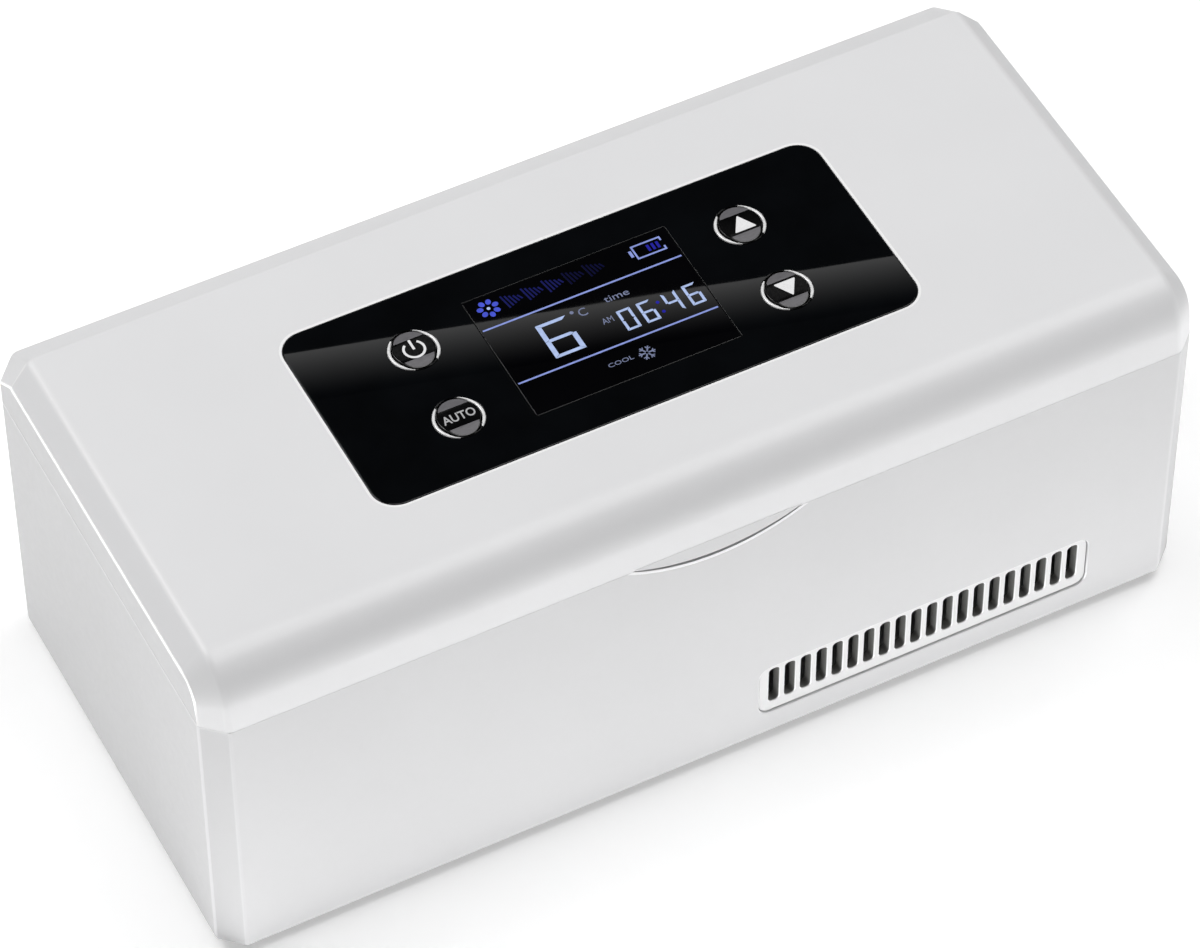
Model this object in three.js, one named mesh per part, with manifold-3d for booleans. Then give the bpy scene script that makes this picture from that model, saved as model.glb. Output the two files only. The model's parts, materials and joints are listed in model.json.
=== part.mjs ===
// A portable cooling case for insulin: a hinged lid with a control panel over an insulated cold chamber.
// Millimetres. +X runs along the case, the front faces -Y, +Z is up and the feet stand on Z = 0.
import * as THREE from 'three';
import { mergeVertices } from 'three/addons/utils/BufferGeometryUtils.js';
import Module from 'manifold-3d';

const wasm = await Module();
wasm.setup();

// Outer form
const LENGTH = 212;
const DEPTH = 98;
const LID_TOP = 83;
const SEAM = 69;
const SEAM_GAP = 0.4;
const UNDERSIDE = 1.8;
const WALL = 2.4;
const END_CHAMFER = { along: 4.65, inset: 4.3 };
const BACK_CHAMFER = { along: 9, down: 6.6 };
const FRONT_ROUND = 10;
const BASE_ROUND = 2;
const CLEAR = 0.3;
const FRONT = -DEPTH / 2;
const BACK = DEPTH / 2;

// Pull lip at the middle of the lid's front edge
const LIP = { halfWidth: 18, drop: 4.6, thick: 1.3, gap: 0.8 };

// Hinges on the rear edge, turning about the line where lid and housing meet
const HINGE = { radius: 2.5, pin: 1, bore: 1.35, offset: 62, lidLength: 16, caseLength: 8, gap: 0.4 };

// Control panel and the keys in it
const PANEL = { width: 116, depth: 47.6, round: 5, y: -1.1, thick: 1.2, recess: 1.5 };
const SCREEN = { width: 43.8, depth: 32, frame: 2 };
const KEY = { x: 35.2, y: 9.6, cap: 4.35, proud: 0.5, edge: 0.4, flange: 5.2, flangeThick: 0.6 };
const RING = { inner: 4.7, outer: 5.45, proud: 0.2 };
const SWITCH = { side: 6, body: 1.7, plunger: 1.6, plungerRise: 0.5 };
const KEY_BOARD = { bottom: 76, thick: 1.6, margin: 2, round: 2 };

// Air vents at the lower right of the front and rear walls
const VENT = { left: 10, right: 83.8, bottom: 9, top: 22.6, round: 2.4, sunk: 0.4 };
const VENT_FLANGE = { width: 2, thick: 1.2 };
const SLOT = { count: 20, first: 12.6, pitch: 3.54, width: 2.2, height: 8.4, z: 15.9 };

// Power inlet in the rear wall
const JACK = { x: -60, z: 15, hole: 4.6, nose: 4.2, bore: 3.1, boreDepth: 10.7, pin: 1, pinSunk: 2 };
const JACK_BODY = { width: 9, depth: 12.7 };

// Base cover, feet and screws
const COVER = { bottom: 2.4, thick: 2, edgeGap: 0.4 };
const INTAKE = { slots: 7, pitch: 4.4, width: 2.4, reach: 17 };
const FOOT = { x: 84, y: 34, radius: 6.5, edge: 0.5 };
const SCREW = { x: 97, y: 40, head: 2.5, headTall: 0.9, edge: 0.4, shank: 1.3, sink: 1.1 };
const SCREW_LENGTH = { cover: 12, lid: 8 };
const CROSS_SLOT = { length: 2.6, width: 0.7, deep: 0.5 };
const BOSS = { reach: 4, top: 26, holeTop: 17, lidRadius: 3.2, lidSkin: 1.5 };

// Cooler stack under the cold chamber, from the fan up
const COOLER_X = 46.2;
const FAN = { side: 40, round: 3, tall: 10, duct: 18.6, holePitch: 32, hole: 1.7, baseTall: 1.5, strut: 2 };
const ROTOR = { hub: 8.5, tip: 17.3, skin: 1.2, lift: 0.5, below: 0.8 };
const BLADE = { count: 7, chord: 8, thick: 0.9, pitch: 36 };
const BEARING = { radius: 3, bore: 1.5, tall: 6, floor: 2, shaft: 1 };
const SINK = { length: 64, depth: 78, base: 4, fins: 13, finThick: 1.2, finTall: 9.8 };
const PELTIER = { side: 40, tall: 3.6, plate: 0.8, rim: 1 };
const BLOCK = { side: 40, round: 1.5, tall: 4 };

// Cold chamber, its insulation and the deck around its mouth
const CHAMBER = { length: 177.6, depth: 57.6, round: 6, wall: 1.2, flange: 4 };
const FOAM = { length: 198, depth: 85, round: 4, floor: 3, top: 61.8 };
const SENSOR = { x: -12, width: 9, depth: 4.4, round: 1.8, tall: 2.6 };
const DECK = { bottom: 64.6, thick: 2 };
const LEDGE = { reach: 3.4, half: 14, tall: 6 };
const GASKET = { inset: 2.8, width: 2.4, tall: 2.6, groove: 0.8 };
const INNER_COVER = { thick: 2, lift: 0.1 };
const PLUG = { length: 172, depth: 52, round: 4, tall: 5.3 };
const LID_FOAM = { length: 184, depth: 66, round: 4 };
const MAGNET = { x: 40, y: -39, radius: 3, tall: 2 };

// Battery pack and power board
const CELL = { radius: 9.2, length: 65, edge: 0.6, nub: 3, nubTall: 0.8, x: -89.5, y: [-30, -10.6] };
const HOLDER = { wall: 1.6, floor: 1.2, tall: 9, play: 0.6 };
const BOARD = { x: [-90, -14], y: [6, 44], bottom: 8.7, thick: 1.6, post: 2.4, inset: 5 };
const SOCKET = { width: 6, deep: 5, tall: 5.5, edge: 1, y: { battery: 11, cooler: 19, fan: 27 } };
const COIL = { x: -36, y: 32, radius: 5, tall: 6 };
const CHIP = { x: -46, y: 16, side: 9, tall: 1.6 };
const CAPACITOR = { x: [-76, -68], y: 16, radius: 3.2, tall: 8 };
const CABLE = { radius: 1.1, steps: 12, lead: 5 };

// Joined forms run this far into each other, and cutters this far past a face
const FUSE = 0.5;
const PAST = 1;

// Levels that follow from the stack
const HOUSING_TOP = SEAM - SEAM_GAP / 2;
const LID_BOTTOM = SEAM + SEAM_GAP / 2;
const COVER_TOP = COVER.bottom + COVER.thick;
const FAN_Z = COVER_TOP + CLEAR;
const SINK_Z = FAN_Z + FAN.tall + CLEAR;
const PELTIER_Z = SINK_Z + SINK.finTall + SINK.base + CLEAR;
const BLOCK_Z = PELTIER_Z + PELTIER.tall + CLEAR;
const CHAMBER_Z = BLOCK_Z + BLOCK.tall + CLEAR;
const DECK_TOP = DECK.bottom + DECK.thick;
const PANEL_TOP = LID_TOP;
const PANEL_BOTTOM = PANEL_TOP - PANEL.thick;
const RECESS_FLOOR = LID_TOP - PANEL.recess;
const LID_CEILING = LID_TOP - WALL;
const INNER_COVER_Z = LID_BOTTOM + INNER_COVER.lift;
const INNER_COVER_TOP = INNER_COVER_Z + INNER_COVER.thick;
const KEY_BOARD_TOP = KEY_BOARD.bottom + KEY_BOARD.thick;

// Finishes
function finish(color, roughness, metalness = 0) {
  return new THREE.MeshStandardMaterial({ color, roughness, metalness });
}
const FINISH = {
  pearl: () => finish('#dcdddf', 0.32, 0.1),
  white: () => finish('#e6e7e8', 0.5),
  gloss: () => finish('#06080b', 0.06),
  glass: () => finish('#0a0c12', 0.04),
  black: () => finish('#17181a', 0.55),
  chrome: () => finish('#c9ccd1', 0.12, 1),
  steel: () => finish('#a9adb2', 0.35, 1),
  aluminium: () => finish('#c2c5c9', 0.4, 1),
  rubber: () => finish('#3b3d40', 0.85),
  foam: () => finish('#d8d4c6', 0.95),
  ceramic: () => finish('#eef0ee', 0.6),
  board: () => finish('#1c5a3a', 0.5),
  cell: () => finish('#2f6fae', 0.4),
  cable: () => finish('#8c1f1f', 0.6),
};

// Solids
function solidOf(geometry) {
  geometry.deleteAttribute('normal');
  geometry.deleteAttribute('uv');
  const merged = mergeVertices(geometry);
  const corners = merged.index.array;
  const kept = [];
  for (let i = 0; i < corners.length; i += 3) {
    const [a, b, c] = corners.slice(i, i + 3);
    if (a !== b && b !== c && c !== a) kept.push(a, b, c);
  }
  const vertProperties = new Float32Array(merged.attributes.position.array);
  return new wasm.Manifold(new wasm.Mesh({ numProp: 3, vertProperties, triVerts: new Uint32Array(kept) }));
}

function geometryOf(solid) {
  const { vertProperties, triVerts } = solid.getMesh();
  const geometry = new THREE.BufferGeometry();
  geometry.setAttribute('position', new THREE.BufferAttribute(vertProperties, 3));
  geometry.setIndex(new THREE.BufferAttribute(triVerts, 1));
  geometry.computeVertexNormals();
  return geometry;
}

function union(...solids) {
  return solids.reduce((whole, piece) => whole.add(piece));
}

function box([x0, x1], [y0, y1], [z0, z1]) {
  const geometry = new THREE.BoxGeometry(x1 - x0, y1 - y0, z1 - z0);
  return solidOf(geometry.translate((x0 + x1) / 2, (y0 + y1) / 2, (z0 + z1) / 2));
}

function centredBox(x, y, width, depth, z) {
  return box([x - width / 2, x + width / 2], [y - depth / 2, y + depth / 2], z);
}

// An outline drawn in X and Y, raised between two heights
function raised(shape, [z0, z1], curveSegments = 2) {
  const geometry = new THREE.ExtrudeGeometry(shape, { depth: z1 - z0, bevelEnabled: false, curveSegments });
  return solidOf(geometry.translate(0, 0, z0));
}

// An outline drawn in X and Z, pushed through between two depths
function pushed(shape, [y0, y1], curveSegments = 2) {
  const geometry = new THREE.ExtrudeGeometry(shape, { depth: y1 - y0, bevelEnabled: false, curveSegments });
  const upright = new THREE.Matrix4().makeBasis(axis(1, 0, 0), axis(0, 0, 1), axis(0, -1, 0));
  return solidOf(geometry.applyMatrix4(upright).translate(0, y1, 0));
}

function axis(x, y, z) {
  return new THREE.Vector3(x, y, z);
}

function post(x, y, radius, [z0, z1], sides = 16) {
  const geometry = new THREE.CylinderGeometry(radius, radius, z1 - z0, sides);
  return solidOf(geometry.rotateX(Math.PI / 2).translate(x, y, (z0 + z1) / 2));
}

function rodAlongX([x0, x1], y, z, radius, sides = 16) {
  const geometry = new THREE.CylinderGeometry(radius, radius, x1 - x0, sides);
  return solidOf(geometry.rotateZ(Math.PI / 2).translate((x0 + x1) / 2, y, z));
}

function rodAlongY(x, [y0, y1], z, radius, sides = 16) {
  const geometry = new THREE.CylinderGeometry(radius, radius, y1 - y0, sides);
  return solidOf(geometry.translate(x, (y0 + y1) / 2, z));
}

// A profile of [radius, height] pairs turned about Z
function turned(profile, sides = 20) {
  const points = profile.map(([radius, height]) => new THREE.Vector2(radius, height));
  return solidOf(new THREE.LatheGeometry(points, sides).rotateX(Math.PI / 2));
}

// Outlines
function roundedRectangle(x, y, width, height, radius) {
  const [left, right] = [x - width / 2, x + width / 2];
  const [low, high] = [y - height / 2, y + height / 2];
  const shape = new THREE.Shape();
  shape.absarc(right - radius, low + radius, radius, -Math.PI / 2, 0);
  shape.absarc(right - radius, high - radius, radius, 0, Math.PI / 2);
  shape.absarc(left + radius, high - radius, radius, Math.PI / 2, Math.PI);
  shape.absarc(left + radius, low + radius, radius, Math.PI, 1.5 * Math.PI);
  shape.closePath();
  return shape;
}

// A slot with its corners cut off
function slotOutline(x, y, width, height) {
  const cut = width / 3;
  const [left, right] = [x - width / 2, x + width / 2];
  const [low, high] = [y - height / 2, y + height / 2];
  return polygon([
    [right, low + cut], [right, high - cut], [right - cut, high], [left + cut, high],
    [left, high - cut], [left, low + cut], [left + cut, low], [right - cut, low],
  ]);
}

function polygon(points) {
  return new THREE.Shape(points.map(([x, y]) => new THREE.Vector2(x, y)));
}

// The case seen from above: a rectangle with its four corners cut off
function casePlan(inset) {
  const [x, y] = [LENGTH / 2 - inset, DEPTH / 2 - inset];
  const { along, inset: cut } = END_CHAMFER;
  return polygon([
    [x, cut - y], [x, y - cut], [x - along, y], [along - x, y],
    [-x, y - cut], [-x, cut - y], [along - x, -y], [x - along, -y],
  ]);
}

function caseBlock(inset, z) {
  return raised(casePlan(inset), z);
}

// The crescent of the pull lip, grown by an extra margin
function crescent(extra) {
  const { halfWidth, drop } = LIP;
  const radius = (halfWidth ** 2 + drop ** 2) / (2 * drop);
  const centre = SEAM - drop + radius;
  const top = SEAM + PAST;
  const half = Math.acos((centre - top) / (radius + extra));
  const shape = new THREE.Shape();
  shape.absarc(0, centre, radius + extra, -Math.PI / 2 - half, -Math.PI / 2 + half);
  shape.closePath();
  return shape;
}

// The lid's end view, drawn past the seam so that the end chamfers stay whole there
function lidProfile(inset) {
  const below = SEAM - 20;
  const [front, back, top] = [FRONT + inset, BACK - inset, LID_TOP - inset];
  const round = FRONT_ROUND - inset;
  const shape = new THREE.Shape();
  shape.moveTo(front, below);
  shape.lineTo(back, below);
  shape.lineTo(back, top - BACK_CHAMFER.down);
  shape.lineTo(back - BACK_CHAMFER.along, top);
  shape.absarc(front + round, top - round, round, Math.PI / 2, Math.PI);
  shape.closePath();
  return shape;
}

// The lid's form, swept along X with chamfered ends and cut off at the seam
function lidForm(inset, bottom) {
  const { along, inset: cut } = END_CHAMFER;
  const depth = LENGTH - 2 * (inset + along);
  const bevel = { bevelThickness: along, bevelSize: cut, bevelOffset: -cut, bevelSegments: 1 };
  const geometry = new THREE.ExtrudeGeometry(lidProfile(inset), { depth, curveSegments: 4, ...bevel });
  const lengthwise = new THREE.Matrix4().makeBasis(axis(0, 1, 0), axis(0, 0, 1), axis(1, 0, 0));
  const form = solidOf(geometry.applyMatrix4(lengthwise).translate(-depth / 2, 0, 0));
  return form.subtract(centredBox(0, 0, 2 * LENGTH, 2 * DEPTH, [0, bottom]));
}

// Places that repeat
const CORNERS = [[-1, -1], [1, -1], [1, 1], [-1, 1]];
const SIDES = [['left', -1], ['right', 1]];
const KEYS = [['power', -1, 1], ['auto', -1, -1], ['up', 1, 1], ['down', 1, -1]];

function keyPlace(side, row) {
  return [side * KEY.x, PANEL.y + row * KEY.y];
}

// Hinge knuckles: one span of X for the lid at each hinge and two for the housing
function lidSpan(side, margin = 0) {
  const half = HINGE.lidLength / 2 + margin;
  return [side * HINGE.offset - half, side * HINGE.offset + half];
}

function caseSpans(side, margin = 0) {
  const near = HINGE.lidLength / 2 + HINGE.gap - margin;
  const far = HINGE.lidLength / 2 + HINGE.gap + HINGE.caseLength + margin;
  const middle = side * HINGE.offset;
  return [[middle - far, middle - near], [middle + near, middle + far]];
}

function hingeRod(span, radius) {
  return rodAlongX(span, BACK, SEAM, radius);
}

// Housing
function ventOpening(y) {
  const [width, height] = [VENT.right - VENT.left, VENT.top - VENT.bottom];
  const [x, z] = [(VENT.left + VENT.right) / 2, (VENT.bottom + VENT.top) / 2];
  return pushed(roundedRectangle(x, z, width + 2 * CLEAR, height + 2 * CLEAR, VENT.round + CLEAR), y);
}

function screwBosses() {
  const { reach, top, holeTop } = BOSS;
  const z = [COVER_TOP + CLEAR, top];
  const corner = caseBlock(WALL / 2, z);
  const bosses = CORNERS.map(([sx, sy]) => {
    const [x, y] = [sx * SCREW.x, sy * SCREW.y];
    const spanX = sx > 0 ? [x - reach, LENGTH / 2] : [-LENGTH / 2, x + reach];
    const spanY = sy > 0 ? [y - reach, BACK] : [FRONT, y + reach];
    const hole = post(x, y, SCREW.shank + CLEAR, [0, holeTop], 8);
    return box(spanX, spanY, z).intersect(corner).subtract(hole);
  });
  return union(...bosses);
}

function deckLedges() {
  const { reach, half, tall } = LEDGE;
  const top = DECK.bottom - CLEAR;
  const [inside, outside] = [LENGTH / 2 - WALL - reach, (LENGTH - WALL) / 2];
  const right = box([inside, outside], [-half, half], [top - tall, top]);
  const left = box([-outside, -inside], [-half, half], [top - tall, top]);
  return union(right, left);
}

function mainHousing() {
  const round = { bevelThickness: BASE_ROUND, bevelSize: BASE_ROUND, bevelOffset: -BASE_ROUND };
  const block = new THREE.ExtrudeGeometry(casePlan(0), { depth: SEAM, bevelSegments: 3, ...round });
  const above = centredBox(0, 0, 2 * LENGTH, 2 * DEPTH, [HOUSING_TOP, 2 * SEAM]);
  let body = solidOf(block.translate(0, 0, UNDERSIDE + BASE_ROUND)).subtract(above);
  body = body.subtract(caseBlock(WALL, [0, SEAM]));
  body = union(body, screwBosses(), deckLedges());
  const rearWall = [BACK - WALL - PAST, BACK + PAST];
  body = body.subtract(ventOpening([FRONT - PAST, FRONT + WALL + PAST]));
  body = body.subtract(ventOpening(rearWall));
  body = body.subtract(rodAlongY(JACK.x, rearWall, JACK.z, JACK.hole));
  body = body.subtract(pushed(crescent(LIP.gap), [FRONT - PAST, FRONT + LIP.thick + HINGE.gap], 7));
  for (const [, side] of SIDES) {
    body = body.subtract(hingeRod(lidSpan(side, HINGE.gap), HINGE.radius + HINGE.gap));
    const [near, far] = caseSpans(side);
    body = union(body, hingeRod(near, HINGE.radius), hingeRod(far, HINGE.radius));
    body = body.subtract(hingeRod([near[0] - PAST, far[1] + PAST], HINGE.bore));
  }
  return body;
}

function hingePin() {
  const half = HINGE.lidLength / 2 + HINGE.gap + HINGE.caseLength - CLEAR;
  return rodAlongX([-half, half], 0, 0, HINGE.pin, 16);
}

// Vent grille: a slotted plate in the wall with a flange behind it, drawn for the front wall
function ventGrille() {
  const [width, height] = [VENT.right - VENT.left, VENT.top - VENT.bottom];
  const [x, z] = [(VENT.left + VENT.right) / 2, (VENT.bottom + VENT.top) / 2];
  const behind = FRONT + WALL + CLEAR;
  const { width: lip, thick } = VENT_FLANGE;
  const plate = roundedRectangle(x, z, width, height, VENT.round);
  const flange = roundedRectangle(x, z, width + 2 * lip, height + 2 * lip, VENT.round + lip);
  const face = pushed(plate, [FRONT + VENT.sunk, behind + FUSE]);
  let grille = union(face, pushed(flange, [behind, behind + thick]));
  for (let i = 0; i < SLOT.count; i += 1) {
    const centre = SLOT.first + i * SLOT.pitch;
    const slot = slotOutline(centre, SLOT.z, SLOT.width, SLOT.height);
    grille = grille.subtract(pushed(slot, [FRONT, behind + thick + PAST]));
  }
  return grille;
}

// Base cover with its intake slots, screw holes and board posts
function intakeSlots() {
  const { slots, pitch, width, reach } = INTAKE;
  const cutters = Array.from({ length: slots }, (_, i) => {
    const offset = (i - (slots - 1) / 2) * pitch;
    const length = 2 * Math.sqrt(reach ** 2 - offset ** 2);
    return raised(slotOutline(COOLER_X + offset, 0, width, length), [0, COVER_TOP + PAST]);
  });
  return union(...cutters);
}

// A hole for a screw from below, wider where its head sinks in
function screwHole(x, y, bottom, top) {
  const head = post(x, y, SCREW.head + CLEAR, [bottom - PAST, bottom + SCREW.sink + CLEAR], 12);
  return union(head, post(x, y, SCREW.shank + CLEAR, [bottom, top + PAST], 8));
}

function bottomCover() {
  let cover = caseBlock(WALL + COVER.edgeGap, [COVER.bottom, COVER_TOP]).subtract(intakeSlots());
  for (const [sx, sy] of CORNERS) {
    const [x, y] = [sx * SCREW.x, sy * SCREW.y];
    cover = cover.subtract(screwHole(x, y, COVER.bottom, COVER_TOP));
  }
  for (const x of [BOARD.x[0] + BOARD.inset, BOARD.x[1] - BOARD.inset]) {
    for (const y of [BOARD.y[0] + BOARD.inset, BOARD.y[1] - BOARD.inset]) {
      cover = cover.add(post(x, y, BOARD.post, [COVER_TOP - FUSE, BOARD.bottom - CLEAR], 8));
    }
  }
  return cover;
}

function rubberFoot() {
  const tall = COVER.bottom - CLEAR;
  const { radius, edge } = FOOT;
  return turned([[0, 0], [radius - edge, 0], [radius, edge], [radius, tall], [0, tall]]);
}

// A pan-head screw with a cross slot, standing on its head at Z = 0
function screw(length) {
  const { head, headTall, edge, shank } = SCREW;
  const headProfile = [[0, 0], [head - edge, 0], [head, edge], [head, headTall]];
  const body = turned([...headProfile, [shank, headTall], [shank, length - shank], [0, length]], 12);
  const { length: long, width, deep } = CROSS_SLOT;
  const z = [-PAST, deep];
  return body.subtract(union(centredBox(0, 0, long, width, z), centredBox(0, 0, width, long, z)));
}

// Cooler stack
function fanFrame() {
  const { side, round, tall, duct, holePitch, hole, baseTall, strut } = FAN;
  const through = [-PAST, tall + PAST];
  let frame = raised(roundedRectangle(0, 0, side, side, round), [0, tall]);
  frame = frame.subtract(post(0, 0, duct, through, 24));
  for (const [sx, sy] of CORNERS) {
    frame = frame.subtract(post((sx * holePitch) / 2, (sy * holePitch) / 2, hole, through, 8));
  }
  const arm = box([0, duct + FUSE], [-strut / 2, strut / 2], [0, baseTall]);
  const arms = [0, 120, 240].map((turn) => arm.rotate([0, 0, turn]));
  const { radius, bore, tall: top, floor } = BEARING;
  const whole = union(frame, post(0, 0, ROTOR.hub, [0, baseTall]), post(0, 0, radius, [0, top]), ...arms);
  return whole.subtract(post(0, 0, bore, [floor, top + PAST], 12));
}

function fanRotor() {
  const { hub, tip, skin, lift, below } = ROTOR;
  const { count, chord, thick, pitch } = BLADE;
  const [low, high] = [FAN.baseTall + lift, FAN.tall - below];
  const hollow = post(0, 0, hub - skin, [low - PAST, high - skin], 24);
  const cup = post(0, 0, hub, [low, high], 24).subtract(hollow);
  const shaft = post(0, 0, BEARING.shaft, [BEARING.floor + PAST, high - FUSE], 12);
  const reach = tip - hub + skin / 2;
  const form = new THREE.BoxGeometry(reach, chord, thick).rotateX(THREE.MathUtils.degToRad(pitch));
  const vane = solidOf(form.translate(tip - reach / 2, 0, (low + high) / 2));
  const vanes = Array.from({ length: count }, (_, i) => vane.rotate([0, 0, (360 * i) / count]));
  return union(cup, shaft, ...vanes);
}

function heatSink() {
  const { length, depth, base, fins, finThick, finTall } = SINK;
  const plate = centredBox(0, 0, length, depth, [finTall, finTall + base]);
  const pitch = (length - finThick) / (fins - 1);
  const blades = Array.from({ length: fins }, (_, i) => {
    const x = (finThick - length) / 2 + i * pitch;
    return centredBox(x, 0, finThick, depth, [0, finTall + FUSE]);
  });
  return union(plate, ...blades);
}

function peltierModule() {
  const { side, tall, plate, rim } = PELTIER;
  const core = centredBox(0, 0, side - 2 * rim, side - 2 * rim, [plate / 2, tall - plate / 2]);
  const [hot, cold] = [[0, plate], [tall - plate, tall]].map((z) => centredBox(0, 0, side, side, z));
  return union(hot, core, cold);
}

function coldBlock() {
  return raised(roundedRectangle(0, 0, BLOCK.side, BLOCK.side, BLOCK.round), [0, BLOCK.tall]);
}

// Cold chamber
function chamberOutline(grow) {
  const { length, depth, round } = CHAMBER;
  return roundedRectangle(0, 0, length + 2 * grow, depth + 2 * grow, round + grow);
}

function chamberLiner() {
  const { wall, flange } = CHAMBER;
  const top = DECK.bottom - CLEAR;
  const outside = raised(chamberOutline(wall), [CHAMBER_Z, top]);
  const lip = raised(chamberOutline(wall + flange), [top - wall, top]);
  return union(outside, lip).subtract(raised(chamberOutline(0), [CHAMBER_Z + wall, top + PAST]));
}

function insulationFoam() {
  const { length, depth, round, floor, top } = FOAM;
  const bottom = CHAMBER_Z - CLEAR - floor;
  const block = raised(roundedRectangle(0, 0, length, depth, round), [bottom, top]);
  const hollow = raised(chamberOutline(CHAMBER.wall + CLEAR), [CHAMBER_Z - CLEAR, top + PAST]);
  const side = BLOCK.side + 3 * CLEAR;
  const window = centredBox(COOLER_X, 0, side, side, [bottom - PAST, top]);
  const { x, width, depth: deep } = SENSOR;
  const pocket = centredBox(x, 0, width + 3 * CLEAR, deep + 3 * CLEAR, [bottom - PAST, top]);
  return block.subtract(union(hollow, window, pocket));
}

function temperatureSensor() {
  return raised(roundedRectangle(0, 0, SENSOR.width, SENSOR.depth, SENSOR.round), [0, SENSOR.tall]);
}

function gasketRing(grow, z) {
  const outer = raised(chamberOutline(GASKET.inset + GASKET.width + grow), z);
  return outer.subtract(raised(chamberOutline(GASKET.inset - grow), [z[0] - PAST, z[1] + PAST]));
}

function topDeck() {
  const plate = caseBlock(WALL + COVER.edgeGap, [DECK.bottom, DECK_TOP]);
  const mouth = raised(chamberOutline(0), [DECK.bottom - PAST, DECK_TOP + PAST]);
  return plate.subtract(mouth).subtract(gasketRing(CLEAR, [DECK_TOP - GASKET.groove, DECK_TOP + PAST]));
}

function chamberGasket() {
  const bottom = DECK_TOP - GASKET.groove + CLEAR;
  return gasketRing(0, [bottom, bottom + GASKET.tall]);
}

function magnetDisc() {
  return post(0, 0, MAGNET.radius, [0, MAGNET.tall], 16);
}

// Battery pack and power board
function batteryCell() {
  const { radius, length, edge, nub, nubTall } = CELL;
  const shoulder = length - nubTall;
  const foot = [[0, 0], [radius - edge, 0], [radius, edge]];
  const top = [[radius, shoulder - edge], [radius - edge, shoulder]];
  return turned([...foot, ...top, [nub, shoulder], [nub, length], [0, length]]).rotate([0, 90, 0]);
}

function batteryHolder() {
  const { wall, floor, tall, play } = HOLDER;
  const spanX = [CELL.x - play, CELL.x + CELL.length + play];
  const spanY = [CELL.y[0] - CELL.radius - play, CELL.y[1] + CELL.radius + play];
  const bottom = COVER_TOP + CLEAR;
  const grown = ([low, high]) => [low - wall, high + wall];
  const tray = box(grown(spanX), grown(spanY), [bottom, bottom + tall]);
  return tray.subtract(box(spanX, spanY, [bottom + floor, bottom + tall + PAST]));
}

function powerBoard() {
  const top = BOARD.bottom + BOARD.thick;
  const rise = (tall) => [top - FUSE, top + tall];
  const plate = box(BOARD.x, BOARD.y, [BOARD.bottom, top]);
  const { width, deep, tall, edge, y } = SOCKET;
  const socketX = BOARD.x[1] - edge - deep / 2;
  const sockets = Object.values(y).map((at) => centredBox(socketX, at, deep, width, rise(tall)));
  const coil = post(COIL.x, COIL.y, COIL.radius, rise(COIL.tall));
  const chip = centredBox(CHIP.x, CHIP.y, CHIP.side, CHIP.side, rise(CHIP.tall));
  const canZ = rise(CAPACITOR.tall);
  const capacitors = CAPACITOR.x.map((x) => post(x, CAPACITOR.y, CAPACITOR.radius, canZ, 12));
  return union(plate, coil, chip, ...capacitors, ...sockets);
}

function dcJack() {
  const { x, z, nose, bore, boreDepth, pin, pinSunk } = JACK;
  const half = JACK_BODY.width / 2;
  const inside = BACK - WALL - CLEAR;
  const low = BOARD.bottom + BOARD.thick + CLEAR;
  const tip = BACK - CLEAR;
  const body = box([x - half, x + half], [inside - JACK_BODY.depth, inside], [low, z + half]);
  const barrel = rodAlongY(x, [inside - FUSE, tip], z, nose);
  const socket = rodAlongY(x, [tip - boreDepth, tip + PAST], z, bore);
  const contact = rodAlongY(x, [tip - boreDepth - FUSE, tip - pinSunk], z, pin, 10);
  return union(body, barrel).subtract(socket).add(contact);
}

function cable(points) {
  const extrudePath = new THREE.CatmullRomCurve3(points.map(([x, y, z]) => axis(x, y, z)));
  const section = new THREE.Shape().absarc(0, 0, CABLE.radius, 0, 2 * Math.PI);
  const { steps } = CABLE;
  return solidOf(new THREE.ExtrudeGeometry(section, { extrudePath, steps, curveSegments: 4 }));
}

// Each lead runs straight into its socket on the power board
function leadTo(y, points) {
  const end = BOARD.x[1] - SOCKET.edge + CLEAR;
  const z = BOARD.bottom + BOARD.thick + SOCKET.tall / 2;
  return cable([...points, [end + CABLE.lead, y, z], [end, y, z]]);
}

function fanCable() {
  const start = COOLER_X - FAN.side / 2 - CLEAR;
  return leadTo(SOCKET.y.fan, [[start, 8, 9.7], [start - 10, 9, 9.4], [2, 20, 10.5]]);
}

function coolerCable() {
  const start = COOLER_X - PELTIER.side / 2 - CLEAR;
  const z = PELTIER_Z + PELTIER.tall / 2;
  return leadTo(SOCKET.y.cooler, [[start, -10, z], [start - 10, -9, z], [6, -2, 27], [1, 8, 19]]);
}

function batteryCable() {
  const start = CELL.x + CELL.length + HOLDER.play + HOLDER.wall + CLEAR;
  return leadTo(SOCKET.y.battery, [[start, -20, 10], [start + 6, -18, 10.5], [-8, -4, 11.5]]);
}

// Lid
function lidBosses() {
  const inside = lidForm(WALL / 2, INNER_COVER_TOP + CLEAR);
  const bosses = CORNERS.map(([sx, sy]) => {
    const [x, y] = [sx * SCREW.x, sy * SCREW.y];
    const column = post(x, y, BOSS.lidRadius, [INNER_COVER_TOP, LID_TOP], 12).intersect(inside);
    return column.subtract(post(x, y, SCREW.shank + CLEAR, [SEAM, LID_CEILING - BOSS.lidSkin], 8));
  });
  return union(...bosses);
}

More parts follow.
